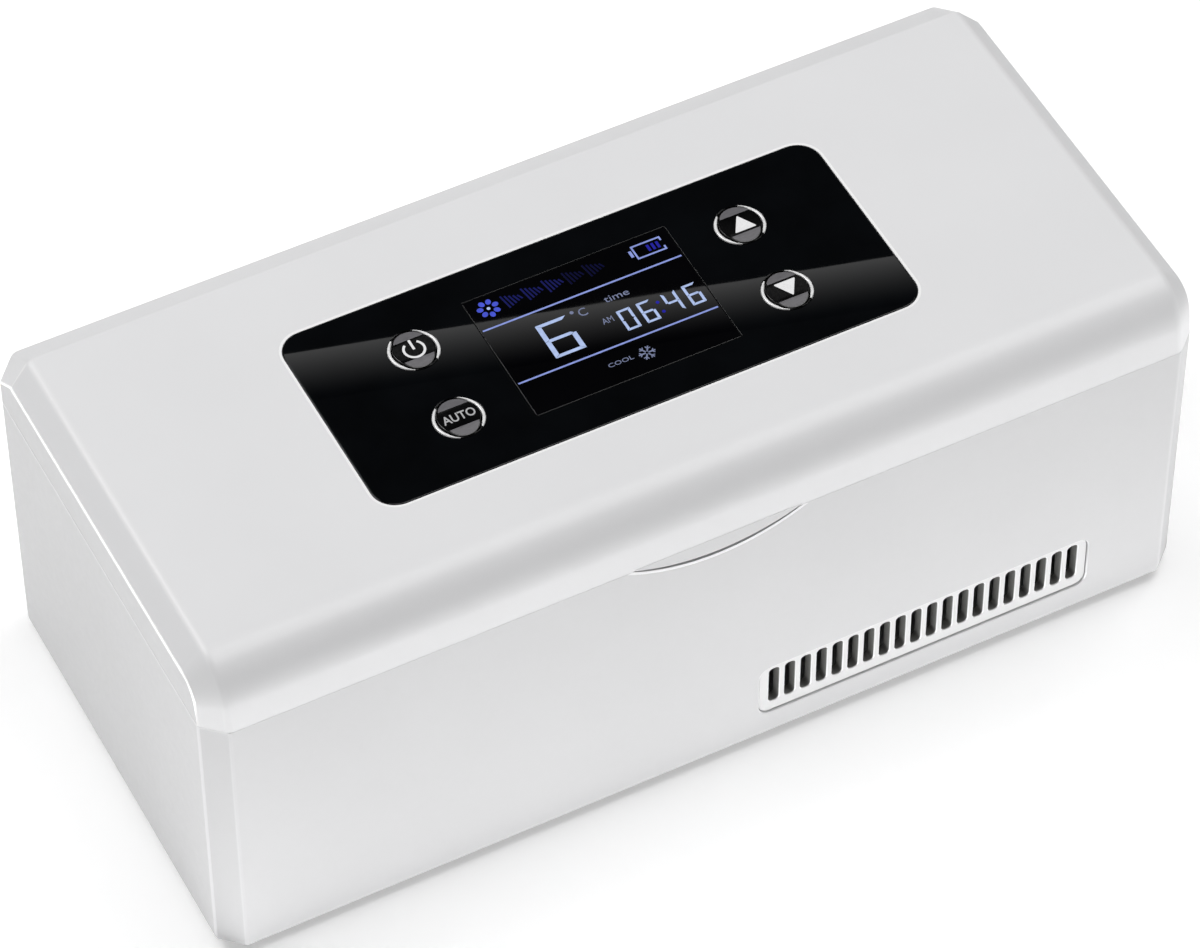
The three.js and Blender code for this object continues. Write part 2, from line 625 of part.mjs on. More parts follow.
function lidShell() {
  let shell = lidForm(0, LID_BOTTOM).subtract(lidForm(WALL, SEAM - PAST));
  shell = union(shell, lidBosses(), pushed(crescent(0), [FRONT, FRONT + LIP.thick], 7));
  const { width, depth, round, y } = PANEL;
  const seat = roundedRectangle(0, y, width + 2 * CLEAR, depth + 2 * CLEAR, round + CLEAR);
  shell = shell.subtract(raised(seat, [RECESS_FLOOR, LID_TOP + PAST]));
  const through = [LID_CEILING - PAST, LID_TOP];
  const margin = 2 * (SCREEN.frame + HINGE.gap);
  shell = shell.subtract(centredBox(0, y, SCREEN.width + margin, SCREEN.depth + margin, through));
  for (const [, side, row] of KEYS) {
    shell = shell.subtract(post(...keyPlace(side, row), KEY.flange + HINGE.gap, through, 20));
  }
  for (const [, side] of SIDES) {
    for (const span of caseSpans(side, HINGE.gap)) {
      shell = shell.subtract(hingeRod(span, HINGE.radius + HINGE.gap));
    }
    shell = shell.add(hingeRod(lidSpan(side), HINGE.radius));
    shell = shell.subtract(hingeRod(lidSpan(side, PAST), HINGE.bore));
  }
  return shell;
}

function lidInnerCover() {
  const plate = caseBlock(WALL + COVER.edgeGap, [INNER_COVER_Z, INNER_COVER_TOP]);
  const { length, depth, round, tall } = PLUG;
  const plugForm = roundedRectangle(0, 0, length, depth, round);
  let cover = plate.add(raised(plugForm, [INNER_COVER_Z - tall, INNER_COVER_Z + FUSE]));
  for (const [sx, sy] of CORNERS) {
    const [x, y] = [sx * SCREW.x, sy * SCREW.y];
    cover = cover.subtract(screwHole(x, y, INNER_COVER_Z, INNER_COVER_TOP));
  }
  return cover;
}

function lidInsulation() {
  const { length, depth, round } = LID_FOAM;
  const z = [INNER_COVER_TOP + CLEAR, KEY_BOARD.bottom - CLEAR];
  return raised(roundedRectangle(0, 0, length, depth, round), z);
}

function controlPanel() {
  const { width, depth, round, y } = PANEL;
  const through = [PANEL_BOTTOM - PAST, PANEL_TOP + PAST];
  let panel = raised(roundedRectangle(0, y, width, depth, round), [PANEL_BOTTOM, PANEL_TOP], 3);
  panel = panel.subtract(centredBox(0, y, SCREEN.width + 2 * CLEAR, SCREEN.depth + 2 * CLEAR, through));
  for (const [, side, row] of KEYS) {
    panel = panel.subtract(post(...keyPlace(side, row), RING.outer + CLEAR, through, 24));
  }
  return panel;
}

function displayWindow() {
  return centredBox(0, PANEL.y, SCREEN.width, SCREEN.depth, [PANEL_BOTTOM, PANEL_TOP]);
}

function lcdModule() {
  const { width, depth, frame } = SCREEN;
  const z = [KEY_BOARD_TOP + CLEAR, PANEL_BOTTOM - CLEAR];
  return raised(roundedRectangle(0, PANEL.y, width + 2 * frame, depth + 2 * frame, 1), z, 1);
}

function keyBoard() {
  const { bottom, margin, round } = KEY_BOARD;
  const [width, depth] = [PANEL.width - 2 * margin, PANEL.depth - 2 * margin];
  return raised(roundedRectangle(0, PANEL.y, width, depth, round), [bottom, KEY_BOARD_TOP], 1);
}

function tactSwitch() {
  const { side, body, plunger, plungerRise } = SWITCH;
  const button = post(0, 0, plunger, [body - FUSE, body + plungerRise]);
  return union(centredBox(0, 0, side, side, [0, body]), button);
}

function keyRing() {
  const { inner, outer, proud } = RING;
  const top = [(inner + outer) / 2, PANEL.thick + proud];
  const [inside, outside] = [[inner, PANEL.thick], [outer, PANEL.thick]];
  return turned([[inner, 0], [outer, 0], outside, top, inside, [inner, 0]], 24);
}

function keyCap() {
  const { cap, proud, edge, flange, flangeThick } = KEY;
  const tall = flangeThick + CLEAR + PANEL.thick + proud;
  const foot = [[0, 0], [flange, 0], [flange, flangeThick], [cap, flangeThick]];
  return turned([...foot, [cap, tall - edge], [cap - edge, tall], [0, tall]], 24);
}

// Assembly
function part(name, solid, material, place = [0, 0, 0]) {
  const mesh = new THREE.Mesh(geometryOf(solid), material);
  mesh.name = name;
  mesh.position.set(...place);
  return mesh;
}

function pairOf(name, solid, [x, y, z]) {
  return SIDES.map(([side, sign]) => part(`${name}_${side}`, solid, FINISH.steel(), [sign * x, y, z]));
}

function cornerParts(name, solid, material, { x, y }, z) {
  return CORNERS.map(([sx, sy], i) => part(`${name}_${i + 1}`, solid, material(), [sx * x, sy * y, z]));
}

const shell = new THREE.Group();
const coverScrewZ = COVER.bottom + SCREW.sink - SCREW.headTall;
shell.add(
  part('main_housing', mainHousing(), FINISH.pearl()),
  part('bottom_cover', bottomCover(), FINISH.white()),
  part('front_vent_grille', ventGrille(), FINISH.pearl()),
  part('rear_vent_grille', ventGrille().mirror([0, 1, 0]), FINISH.pearl()),
  ...cornerParts('foot', rubberFoot(), FINISH.rubber, FOOT, 0),
  ...cornerParts('bottom_screw', screw(SCREW_LENGTH.cover), FINISH.steel, SCREW, coverScrewZ),
  ...pairOf('hinge_pin', hingePin(), [HINGE.offset, BACK, SEAM]),
);

const cooler = new THREE.Group();
cooler.position.x = COOLER_X;
cooler.add(
  part('fan_housing', fanFrame(), FINISH.black(), [0, 0, FAN_Z]),
  part('fan_rotor', fanRotor(), FINISH.black(), [0, 0, FAN_Z]),
  part('heat_sink', heatSink(), FINISH.aluminium(), [0, 0, SINK_Z]),
  part('peltier_module', peltierModule(), FINISH.ceramic(), [0, 0, PELTIER_Z]),
  part('cold_block', coldBlock(), FINISH.aluminium(), [0, 0, BLOCK_Z]),
);

const chamber = new THREE.Group();
const sensorZ = CHAMBER_Z - CLEAR - SENSOR.tall;
const caseMagnetZ = DECK.bottom - CLEAR - MAGNET.tall;
chamber.add(
  part('chamber_liner', chamberLiner(), FINISH.aluminium()),
  part('insulation_foam', insulationFoam(), FINISH.foam()),
  part('top_deck', topDeck(), FINISH.white()),
  part('chamber_gasket', chamberGasket(), FINISH.rubber()),
  part('temperature_sensor', temperatureSensor(), FINISH.steel(), [SENSOR.x, 0, sensorZ]),
  ...pairOf('case_magnet', magnetDisc(), [MAGNET.x, MAGNET.y, caseMagnetZ]),
);

const power = new THREE.Group();
const cellZ = COVER_TOP + HOLDER.floor + 2 * CLEAR + CELL.radius;
const cells = CELL.y.map((y, i) => {
  return part(`battery_cell_${i + 1}`, batteryCell(), FINISH.cell(), [CELL.x, y, cellZ]);
});
cells[1].rotation.z = Math.PI;
cells[1].position.x += CELL.length;
power.add(
  ...cells,
  part('battery_holder', batteryHolder(), FINISH.black()),
  part('power_board', powerBoard(), FINISH.board()),
  part('dc_jack', dcJack(), FINISH.black()),
  part('fan_cable', fanCable(), FINISH.cable()),
  part('cooler_cable', coolerCable(), FINISH.cable()),
  part('battery_cable', batteryCable(), FINISH.cable()),
);

const lid = new THREE.Group();
const lidScrewZ = INNER_COVER_Z + SCREW.sink - SCREW.headTall;
lid.add(
  part('lid_shell', lidShell(), FINISH.pearl()),
  part('lid_inner_cover', lidInnerCover(), FINISH.white()),
  part('lid_insulation', lidInsulation(), FINISH.foam()),
  part('control_panel', controlPanel(), FINISH.gloss()),
  part('display_window', displayWindow(), FINISH.glass()),
  part('lcd_module', lcdModule(), FINISH.black()),
  part('key_board', keyBoard(), FINISH.board()),
  ...cornerParts('lid_screw', screw(SCREW_LENGTH.lid), FINISH.steel, SCREW, lidScrewZ),
  ...pairOf('lid_magnet', magnetDisc(), [MAGNET.x, MAGNET.y, INNER_COVER_TOP + CLEAR]),
);

const capZ = PANEL_BOTTOM - CLEAR - KEY.flangeThick;
for (const [name, side, row] of KEYS) {
  const [x, y] = keyPlace(side, row);
  lid.add(
    part(`${name}_button`, keyCap(), FINISH.gloss(), [x, y, capZ]),
    part(`${name}_ring`, keyRing(), FINISH.chrome(), [x, y, PANEL_BOTTOM]),
    part(`${name}_switch`, tactSwitch(), FINISH.black(), [x, y, KEY_BOARD_TOP + CLEAR]),
  );
}

// The origin is the middle of the footprint, hinge knuckles included
const coolingCase = new THREE.Group();
coolingCase.position.y = -HINGE.radius / 2;
coolingCase.add(shell, cooler, chamber, power, lid);

export default coolingCase;
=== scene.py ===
"""An insulin cooling case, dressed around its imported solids.

Lengths are in metres, in the frame of the solids: X runs along the case, the front faces -Y and Z is up.
"""

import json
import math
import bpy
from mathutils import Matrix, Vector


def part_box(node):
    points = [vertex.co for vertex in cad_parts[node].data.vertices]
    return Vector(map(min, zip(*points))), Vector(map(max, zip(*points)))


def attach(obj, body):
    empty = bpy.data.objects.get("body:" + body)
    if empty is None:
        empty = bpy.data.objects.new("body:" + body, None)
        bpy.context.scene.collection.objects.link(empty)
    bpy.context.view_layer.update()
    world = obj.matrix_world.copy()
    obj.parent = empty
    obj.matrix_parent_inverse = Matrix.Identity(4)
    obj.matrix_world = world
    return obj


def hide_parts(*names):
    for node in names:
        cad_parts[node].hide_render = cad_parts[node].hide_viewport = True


bl_info = {
    "name": "Insulin cooling case",
    "version": (1, 0, 0),
    "blender": (4, 5, 0),
    "location": "View3D > Sidebar > Cooling Case",
    "description": "Models the shells, panel, keys, readout and fittings of a cooling case and its studio",
    "category": "Object",
}

from functools import partial

import bmesh
import bpy
from bpy.props import FloatProperty, FloatVectorProperty, IntProperty, PointerProperty
from mathutils import Quaternion, Vector

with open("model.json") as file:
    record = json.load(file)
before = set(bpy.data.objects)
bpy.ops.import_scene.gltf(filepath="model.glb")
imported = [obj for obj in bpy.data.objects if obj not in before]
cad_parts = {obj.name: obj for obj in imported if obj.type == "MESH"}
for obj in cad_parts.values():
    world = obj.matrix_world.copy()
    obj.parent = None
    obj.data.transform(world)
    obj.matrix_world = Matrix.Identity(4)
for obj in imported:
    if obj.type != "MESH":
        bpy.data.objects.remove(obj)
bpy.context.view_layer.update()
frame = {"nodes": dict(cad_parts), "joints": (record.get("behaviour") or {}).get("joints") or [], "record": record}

MM = 0.001
# How far a cutter reaches past the surface it cuts
PAST = 1.0 * MM
# Corners closer than this are one
WELD = 0.001 * MM
# Thickness of printed marks and how deep they bite into what carries them
INK = 0.03 * MM
BITE = 0.02 * MM
# Radii of small moulded edges
FINE_EDGE = 0.2 * MM
SMALL_EDGE = 0.3 * MM
SOFT_EDGE = 0.4 * MM
# Edges that turn further than this stay sharp
SHARP = math.radians(35)
# Names of the marks along edges with a painted highlight and along gleaming ones
EDGE_HIGHLIGHT = "painted_edge_highlight"
EDGE_GLEAM = "edge_gleam"
# The radius at which an edge is marked in full for its painted highlight, and what is added to it where the edge
# faces an end
EDGE_RADIUS = 0.2 * MM
END_RADIUS = 3.0 * MM
# How far an edge has to face upwards to gleam in full
GLEAM_RISE = 0.2
# How much paler the painted highlight makes a marked edge than its surface
HIGHLIGHT_LIFT = 1.32
# Faces wider than this carry no edge marks
EDGE_WIDEST = 1.0 * MM
# What the floor adds to its brightness near the case, and the distances over which that grows to white
FLOOR_GLOW = 0.42
GLOW_NEAR, GLOW_FAR = 0.6, 2.0

# Planes and places of the solids
HOUSING_LOW, HOUSING_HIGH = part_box("main_housing")
PANEL_LOW, PANEL_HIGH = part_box("control_panel")
WINDOW_LOW, WINDOW_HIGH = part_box("display_window")
HINGE = next(joint for joint in frame["joints"] if joint["name"] == "lid_hinge")
BACK = HINGE["pos_m"][1]
SEAM = HINGE["pos_m"][2]
FRONT = HOUSING_LOW.y
HALF = HOUSING_HIGH.x
UNDERSIDE = HOUSING_LOW.z
LID_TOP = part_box("lid_shell")[1].z
MIDDLE_Y = (FRONT + BACK) / 2
KEYS = ("power", "auto", "up", "down")


def node_box(node):
    """A solid's low corner, high corner and middle."""
    low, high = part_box(node)
    return low, high, (low + high) / 2


def node_middle(node):
    return node_box(node)[2]


PANEL_MIDDLE = node_middle("control_panel")
WINDOW_MIDDLE = node_middle("display_window")
VENT_MIDDLE = node_middle("front_vent_grille")
# The power inlet's middle, and the radius of its hole in the rear wall
INLET_X, INLET_Z = node_middle("dc_jack").x, 15 * MM
INLET_HOLE = 4.45 * MM


# Settings
def length(name, description, millimetres):
    return FloatProperty(name=name, description=description, default=millimetres * MM, unit="LENGTH")


def angle(name, description, degrees):
    return FloatProperty(name=name, description=description, default=math.radians(degrees), unit="ROTATION")


def colour(name, description, red, green, blue):
    return FloatVectorProperty(
        name=name, description=description, default=(red, green, blue), subtype="COLOR", min=0, max=1
    )


def power(name, description, watts):
    return FloatProperty(name=name, description=description, default=watts, min=0, unit="POWER")


class CaseShellSizes(bpy.types.PropertyGroup):
    """Sizes of the two shells"""

    wall: length("Wall", "Thickness of both shells", 2.4)
    chamfer_along: length("End chamfer, along", "How far the end chamfers reach along the case", 4.65)
    chamfer_inset: length("End chamfer, inset", "How far the end chamfers cut in from the sides", 4.3)
    chamfer_edge: length("End chamfer edges", "Radius of the edges of the end chamfers", 1.3)
    back_along: length("Back chamfer, along", "Depth of the chamfer along the lid's rear top edge", 9.0)
    back_down: length("Back chamfer, down", "Drop of the chamfer along the lid's rear top edge", 6.6)
    back_edge: length("Back chamfer edges", "Radius of the edges of the back chamfer", 1.6)
    front_round: length("Front round", "Radius of the lid's front top edge", 10.0)
    front_lean: angle("Front lean", "Backward lean of the lid's front below its round edge", 8.0)
    base_round: length("Base round", "Radius of the lower edge all round", 2.0)
    end_step: length("End step", "How far the lid's end walls stand in from its chamfers", 0.06)
    rim_round: length("Rim round", "Radius of the housing's upper edge", 0.12)
    # The rim band is a narrow face that carries the highlight painted along the housing's upper edge
    rim_band: length("Rim band", "Height of the pale band below the housing's upper edge", 0.7)
    seam_gap: length("Seam gap", "Gap between the shells", 0.04)
    lip_half: length("Lip half width", "Half the width of the pull lip", 18.0)
    lip_drop: length("Lip drop", "How far the pull lip hangs below the seam", 3.8)
    lip_thick: length("Lip thickness", "Thickness of the pull lip", 1.3)
    lip_gap: length("Lip gap", "Gap under the middle of the pull lip", 0.7)
    lip_side: length("Lip side gap", "Gap beside the tips of the pull lip", 0.5)
    lip_room: length("Lip room", "Gap behind the pull lip", 0.4)
    # The notch's rim takes the paler pearl white, a painted highlight
    notch_rim: length("Notch rim", "Width of the pale rim of the notch behind the pull lip", 0.6)
    notch_drop: length("Notch rim drop", "How far the notch's rim falls inwards", 0.1)
    edge: length("Moulded edge", "Radius of the edges of openings in the shells", 0.3)


class CaseHingeSizes(bpy.types.PropertyGroup):
    """Sizes of the rear hinges"""

    offset: length("Offset", "Distance of each hinge from the middle", 62.0)
    radius: length("Knuckle radius", "Radius of the knuckles", 2.5)
    pin: length("Pin radius", "Radius of the hinge pins", 1.0)
    bore: length("Bore radius", "Radius of the holes through the knuckles", 1.35)
    lid_length: length("Lid knuckle", "Length of the lid's knuckle", 16.0)
    case_length: length("Housing knuckle", "Length of each of the housing's knuckles", 8.0)
    gap: length("Gap", "Gap between knuckles", 0.4)


class CasePanelSizes(bpy.types.PropertyGroup):
    """Sizes of the control panel, its keys and the readout"""

    corner: length("Corner", "Corner radius of the panel", 5.0)
    edge: length("Edge", "Radius of the panel's edges", 0.2)
    seat_gap: length("Seat gap", "Gap round the panel", 0.12)
    recess: length("Recess", "Depth of the panel's seat in the lid", 1.5)
    # The rim round the panel's seat takes the rim white, a painted highlight
    rim: length("Rim", "Width of the pale rim round the panel's seat", 0.55)
    rim_drop: length("Rim drop", "How far the pale rim falls towards the panel", 0.08)
    cap: length("Key cap radius", "Radius of the key caps", 4.2)
    flat_start: length("Key flats", "Distance of each sloped flat from the key's middle", 2.6)
    flat_slope: angle("Key flat slope", "Slope of the flats on the key caps", 8.0)
    flange: length("Key flange radius", "Radius of the flange that holds the key down", 5.2)
    flange_thick: length("Key flange thickness", "Thickness of the flange under the panel", 0.6)
    ring_inner: length("Ring inner radius", "Inner radius of the bright rings", 4.45)
    ring_outer: length("Ring outer radius", "Outer radius of the bright rings", 5.12)
    # The rings' two bright arcs and their black rest are a painted reflection
    ring_turn: angle("Ring turn", "Turn of the rings' two bright arcs from the keys' sides", 6.0)
    ring_arc: angle("Ring arc", "Half the spread of each bright arc", 60.0)
    flat_reach: length("Key flat reach", "How far the flats reach out over the rings", 0.62)


class CaseVentSizes(bpy.types.PropertyGroup):
    """Sizes of the slotted grilles"""

    corner: length("Corner", "Corner radius of the grille plates", 2.4)
    width: length("Width", "Width of the plate that shows", 73.8)
    height: length("Height", "Height of the plate that shows", 13.6)
    sunk: length("Sunk", "How far the plate lies behind the wall's face", 0.35)
    thick: length("Thickness", "Depth of the slots", 2.4)
    gap: length("Gap", "Gap round the plate", 0.14)
    slots: IntProperty(name="Slots", description="Number of slots in each grille", default=20, min=1)
    slot_pitch: length("Slot pitch", "Distance from slot to slot", 3.54)
    slot_width: length("Slot width", "Width of each slot", 2.3)
    slot_height: length("Slot height", "Height of each slot", 10.0)
    slot_rise: length("Slot rise", "How far the slots lie above the plate's middle", 0.8)
    slot_edge: length("Slot edge", "Radius of the slots' outer edges", 0.25)


class CaseColours(bpy.types.PropertyGroup):
    """Colours of the finishes"""

    pearl: colour("Pearl white", "Lid", 0.84, 0.84, 0.85)
    # Shell white is a darker copy of the pearl white: partly the housing's own white, partly painted shade on the
    # housing's walls, the lid's end walls and the pull lip
    shell: colour("Shell white", "Housing", 0.57, 0.57, 0.578)
    vent: colour("Vent white", "Grilles", 0.68, 0.68, 0.685)
    # Rim white is a paler copy of the pearl white that paints a highlight on the sloped rim round the panel's seat
    rim: colour("Rim white", "Rim round the panel", 0.98, 0.98, 0.98)
    white: colour("White plastic", "Base cover, deck and inner cover", 0.74, 0.74, 0.73)
    panel: colour("Panel black", "Control panel", 0.0021, 0.0025, 0.0031)
    glass: colour("Display glass", "Display window", 0.0011, 0.0011, 0.0016)
    trim: colour("Bright trim", "Rings round the keys", 0.98, 0.98, 0.98)
    # The grey of the keys' sloped flats is a painted reflection on the black caps
    key_flat: colour("Key flats", "Sloped flats of the keys", 0.14, 0.136, 0.145)
    print: colour("Key print", "Marks on the keys", 0.95, 0.95, 0.96)
    grey_print: colour("Key print, grey", "Letters on the keys", 0.50, 0.50, 0.51)
    bright: colour("Readout, bright", "Figures of the readout", 0.46, 0.575, 0.88)
    rule: colour("Readout, rules", "Rules and battery outline of the readout", 0.28, 0.35, 0.76)
    blue: colour("Readout, blue", "Fan of the readout", 0.07, 0.10, 0.66)
    deep: colour("Readout, deep blue", "Battery bars and colon of the readout", 0.02, 0.02, 0.36)
    grey: colour("Readout, grey", "Words and snowflake of the readout", 0.20, 0.23, 0.36)
    dim: colour("Readout, dim", "First arrows of the readout", 0.010, 0.012, 0.105)
    faint: colour("Readout, faint", "Last arrows of the readout", 0.0035, 0.004, 0.032)


class CaseStageSettings(bpy.types.PropertyGroup):
    """Camera and lights"""

    lens: FloatProperty(
        name="Lens", description="Focal length on a 36 mm sensor", default=178.3, unit="CAMERA"
    )
    aim: FloatVectorProperty(
        name="Aim", description="Point the camera looks at", default=(-0.0024, -0.0062, 0.043), subtype="XYZ"
    )
    azimuth: angle("Azimuth", "Camera's turn from the front towards the left end", 27.15)
    elevation: angle("Elevation", "Camera's height above the horizon", 49.53)
    roll: angle("Roll", "Camera's roll", -0.23)
    distance: FloatProperty(name="Distance", description="Camera to aim", default=1.163, unit="LENGTH")
    key: power("Key softbox", "Soft light from behind the left end", 14.7)
    top: power("Top softbox", "Soft light from above, towards the right end", 20.5)
    front: power("Front softbox", "Low soft light from the right of the front", 2.05)
    front_table: power("Front table light", "Light panel that lies on the table before the case", 1.4)
    base_strip: power("Base strip", "Narrow light panel on the table along the front wall", 0.012)
    left_table: power("Left table light", "Light panel that lies on the table beside the left end", 0.45)
    right_table: power("Right table light", "Light panel that lies on the table beside the right end", 0.2)
    back_table: power("Back table light", "Light panel that lies on the table behind the case", 0.16)
    card: FloatProperty(
        name="Card", description="Brightness of the card mirrored in the panel", default=1.05, min=0
    )


class CaseSettings(bpy.types.PropertyGroup):
    """All settings of the cooling case"""

    shell: PointerProperty(name="Shells", description="Sizes of the shells", type=CaseShellSizes)
    hinge: PointerProperty(name="Hinges", description="Sizes of the hinges", type=CaseHingeSizes)
    panel: PointerProperty(name="Panel", description="Sizes of the panel and keys", type=CasePanelSizes)
    vent: PointerProperty(name="Vents", description="Sizes of the grilles", type=CaseVentSizes)
    colours: PointerProperty(name="Colours", description="Colours of the finishes", type=CaseColours)
    stage: PointerProperty(name="Stage", description="Camera and lights", type=CaseStageSettings)


def settings():
    return bpy.context.scene.cooling_case


# Outlines in a plane
def corner_arc(before, corner, after, radius, steps):
    """Points of the arc that rounds a corner between two straight runs."""
    if radius <= 0:
        return [Vector(corner)]
    corner = Vector(corner)
    toward = (Vector(before) - corner).normalized()
    onward = (Vector(after) - corner).normalized()
    half = toward.angle(onward) / 2
    centre = corner + (toward + onward).normalized() * radius / math.sin(half)
    start = corner + toward * radius / math.tan(half) - centre
    end = corner + onward * radius / math.tan(half) - centre
    sweep = math.pi - 2 * half
    arc = []
    for step in range(steps + 1):
        turn = sweep * step / steps
        arc.append(centre + (start * math.sin(sweep - turn) + end * math.sin(turn)) / math.sin(sweep))
    return arc


def rounded_loop(corners, radii, steps=6):
    """A closed outline with its corners turned into arcs."""
    count = len(corners)
    loop = []
    for index, corner in enumerate(corners):
        loop += corner_arc(corners[index - 1], corner, corners[(index + 1) % count], radii[index], steps)
    return loop


def rounded_path(corners, radii, steps=6):
    """An open line with its inner corners turned into arcs."""
    path = [Vector(corners[0])]
    for before, corner, after, radius in zip(corners, corners[1:], corners[2:], radii):
        path += corner_arc(before, corner, after, radius, steps)
    return path + [Vector(corners[-1])]


def grown(corners, offset):
    """A convex polygon, listed anticlockwise, with every side moved outwards."""
    moved = []
    for index, corner in enumerate(corners):
        side_in = (corner - corners[index - 1]).normalized().orthogonal()
        side_out = (corners[(index + 1) % len(corners)] - corner).normalized().orthogonal()
        moved.append(corner - (side_in + side_out) * offset / (1 + side_in.dot(side_out)))
    return moved


def rectangle(x, y, width, height, radius=0.0, steps=6):
    """The outline of a rounded rectangle as a function of how far it is grown."""
    finest = 0.02 * MM

    def loop_at(offset=0.0):
        across, along = width / 2 + offset, height / 2 + offset
        signs = ((-1, -1), (1, -1), (1, 1), (-1, 1))
        corners = [(x + sign_x * across, y + sign_y * along) for sign_x, sign_y in signs]
        return rounded_loop(corners, [max(radius + offset, finest)] * 4, steps)

    return loop_at


def disc(x, y, radius, steps=48):
    """A circle as a function of how far it is grown."""

    def loop_at(offset=0.0):
        reach = radius + offset
        turns = [2 * math.pi * step / steps for step in range(steps)]
        return [(x + reach * math.cos(turn), y + reach * math.sin(turn)) for turn in turns]

    return loop_at


def case_plan(offset=0.0):
    """The case's outline from above."""
    sizes = settings().shell
    long_end, short_end = HALF - sizes.chamfer_along, sizes.chamfer_inset
    right = [(long_end, FRONT), (HALF, FRONT + short_end), (HALF, BACK - short_end), (long_end, BACK)]
    left = [(-x, y) for x, y in reversed(right)]
    corners = grown([Vector(corner) for corner in right + left], offset)
    radius = max(sizes.chamfer_edge + offset, FINE_EDGE)
    return rounded_loop(corners, [radius] * len(corners), steps=4)


def inset_plan(inset):
    """The case's outline moved in, as a function of how far it is grown."""
    return lambda offset=0.0: case_plan(offset - inset)


def crescent(half_width, drop):
    """The pull lip's outline on the front, as a function of how far it is grown."""
    radius = (half_width**2 + drop**2) / (2 * drop)
    centre = SEAM - drop + radius
    overlap = 0.3 * MM
    top = SEAM + overlap
    steps = 40

    def loop_at(offset=0.0):
        reach = radius + offset
        half = math.acos((centre - top) / reach)
        turns = [-math.pi / 2 - half + 2 * half * step / steps for step in range(steps + 1)]
        return [(reach * math.cos(turn), centre + reach * math.sin(turn)) for turn in turns]

    return loop_at


# Meshes
AXES = {
    "x": lambda point, level: (level, point[0], point[1]),
    "y": lambda point, level: (point[0], level, point[1]),
    "z": lambda point, level: (point[0], point[1], level),
}


def skin(bm, rings, closed=False):
    """Faces between neighbouring rings of equal count."""
    pairs = list(zip(rings, rings[1:]))
    if closed:
        pairs.append((rings[-1], rings[0]))
    for lower, upper in pairs:
        for index, corner in enumerate(lower):
            after = (index + 1) % len(lower)
            bm.faces.new((corner, lower[after], upper[after], upper[index]))


def stack(bm, loop_at, axis, levels, closed=False):
    """Rings of one outline at several offsets and levels, skinned and capped, or closed into a hoop."""
    place = AXES[axis]
    rings = [[bm.verts.new(place(point, level)) for point in loop_at(offset)] for offset, level in levels]
    skin(bm, rings, closed)
    if not closed:
        bm.faces.new(reversed(rings[0]))
        bm.faces.new(rings[-1])


def rounded_end(level, inward, radius, steps=4):
    """Offsets and levels of a prism's end, from outside in. A radius below zero flares the end."""
    pairs = []
    for step in range(steps + 1):
        turn = math.pi / 2 * (1 - step / steps)
        depth = abs(radius) * (1 - math.sin(turn))
        pairs.append((-radius * (1 - math.cos(turn)), level + inward * depth))
    if radius < 0:
        pairs.insert(0, (-radius, level - inward * PAST))
    return pairs


def prism(bm, loop_at, axis, start, end, start_round=0.0, end_round=0.0):
    """A prism along an axis with rounded or flared ends."""
    levels = rounded_end(start, 1, start_round) if start_round else [(0, start)]
    far = rounded_end(end, -1, end_round) if end_round else [(0, end)]
    stack(bm, loop_at, axis, levels + far[::-1])


def stacked(loop_at, axis, levels, closed=False):
    """A mesh of one stack."""
    bm = bmesh.new()
    stack(bm, loop_at, axis, levels, closed)
    return bm


def solid(loop_at, axis, start, end, start_round=0.0, end_round=0.0):
    """A mesh of one prism."""
    bm = bmesh.new()
    prism(bm, loop_at, axis, start, end, start_round, end_round)
    return bm


def slab(bm, loop, low, high):
    """A flat mark with an outline of its own."""
    stack(bm, lambda offset: loop, "z", [(0, low), (0, high)])


def link(name, mesh):
    piece = bpy.data.objects.new(name, mesh)
    bpy.context.scene.collection.objects.link(piece)
    return piece


def tidy(bm):
    bmesh.ops.remove_doubles(bm, verts=bm.verts, dist=WELD)
    bmesh.ops.recalc_face_normals(bm, faces=bm.faces)


def mark_edges(bm):
    """Notes on narrow faces how tightly their edges are rounded, which sets their painted highlight, and how much
    they gleam, from 0 to 1.
    """
    bm.normal_update()
    turns, gleams = {}, {}
    for edge in bm.edges:
        if edge.is_manifold:
            width = sum(face.calc_area() for face in edge.link_faces) / 2 / edge.calc_length()
            curve = max(edge.calc_face_angle_signed(0) / width, 0)
            for vertex in edge.verts:
                endward = vertex.normal.x**2
                turn = curve * (EDGE_RADIUS + END_RADIUS * endward**2)
                upward = min(max(vertex.normal.z, 0) / GLEAM_RISE, 1)
                gleam = curve * END_RADIUS * upward * max(endward - vertex.normal.z**2, 0) ** 2
                turns[vertex] = max(turns.get(vertex, 0), min(turn, 1))
                gleams[vertex] = max(gleams.get(vertex, 0), min(gleam, 1))
    layers = bm.loops.layers.float
    for name, marks in ((EDGE_HIGHLIGHT, turns), (EDGE_GLEAM, gleams)):
        layer = layers.get(name) or layers.new(name)
        for face in bm.faces:
            narrow = face.calc_area() / max(edge.calc_length() for edge in face.edges) < EDGE_WIDEST
            for corner in face.loops:
                corner[layer] = marks.get(corner.vert, 0) if narrow else 0


def to_mesh(name, bm):
    tidy(bm)
    mark_edges(bm)
    for face in bm.faces:
        face.smooth = True
    for edge in bm.edges:
        edge.smooth = edge.calc_face_angle(0) < SHARP
    mesh = bpy.data.meshes.new(name)
    bm.to_mesh(mesh)
    bm.free()
    return mesh


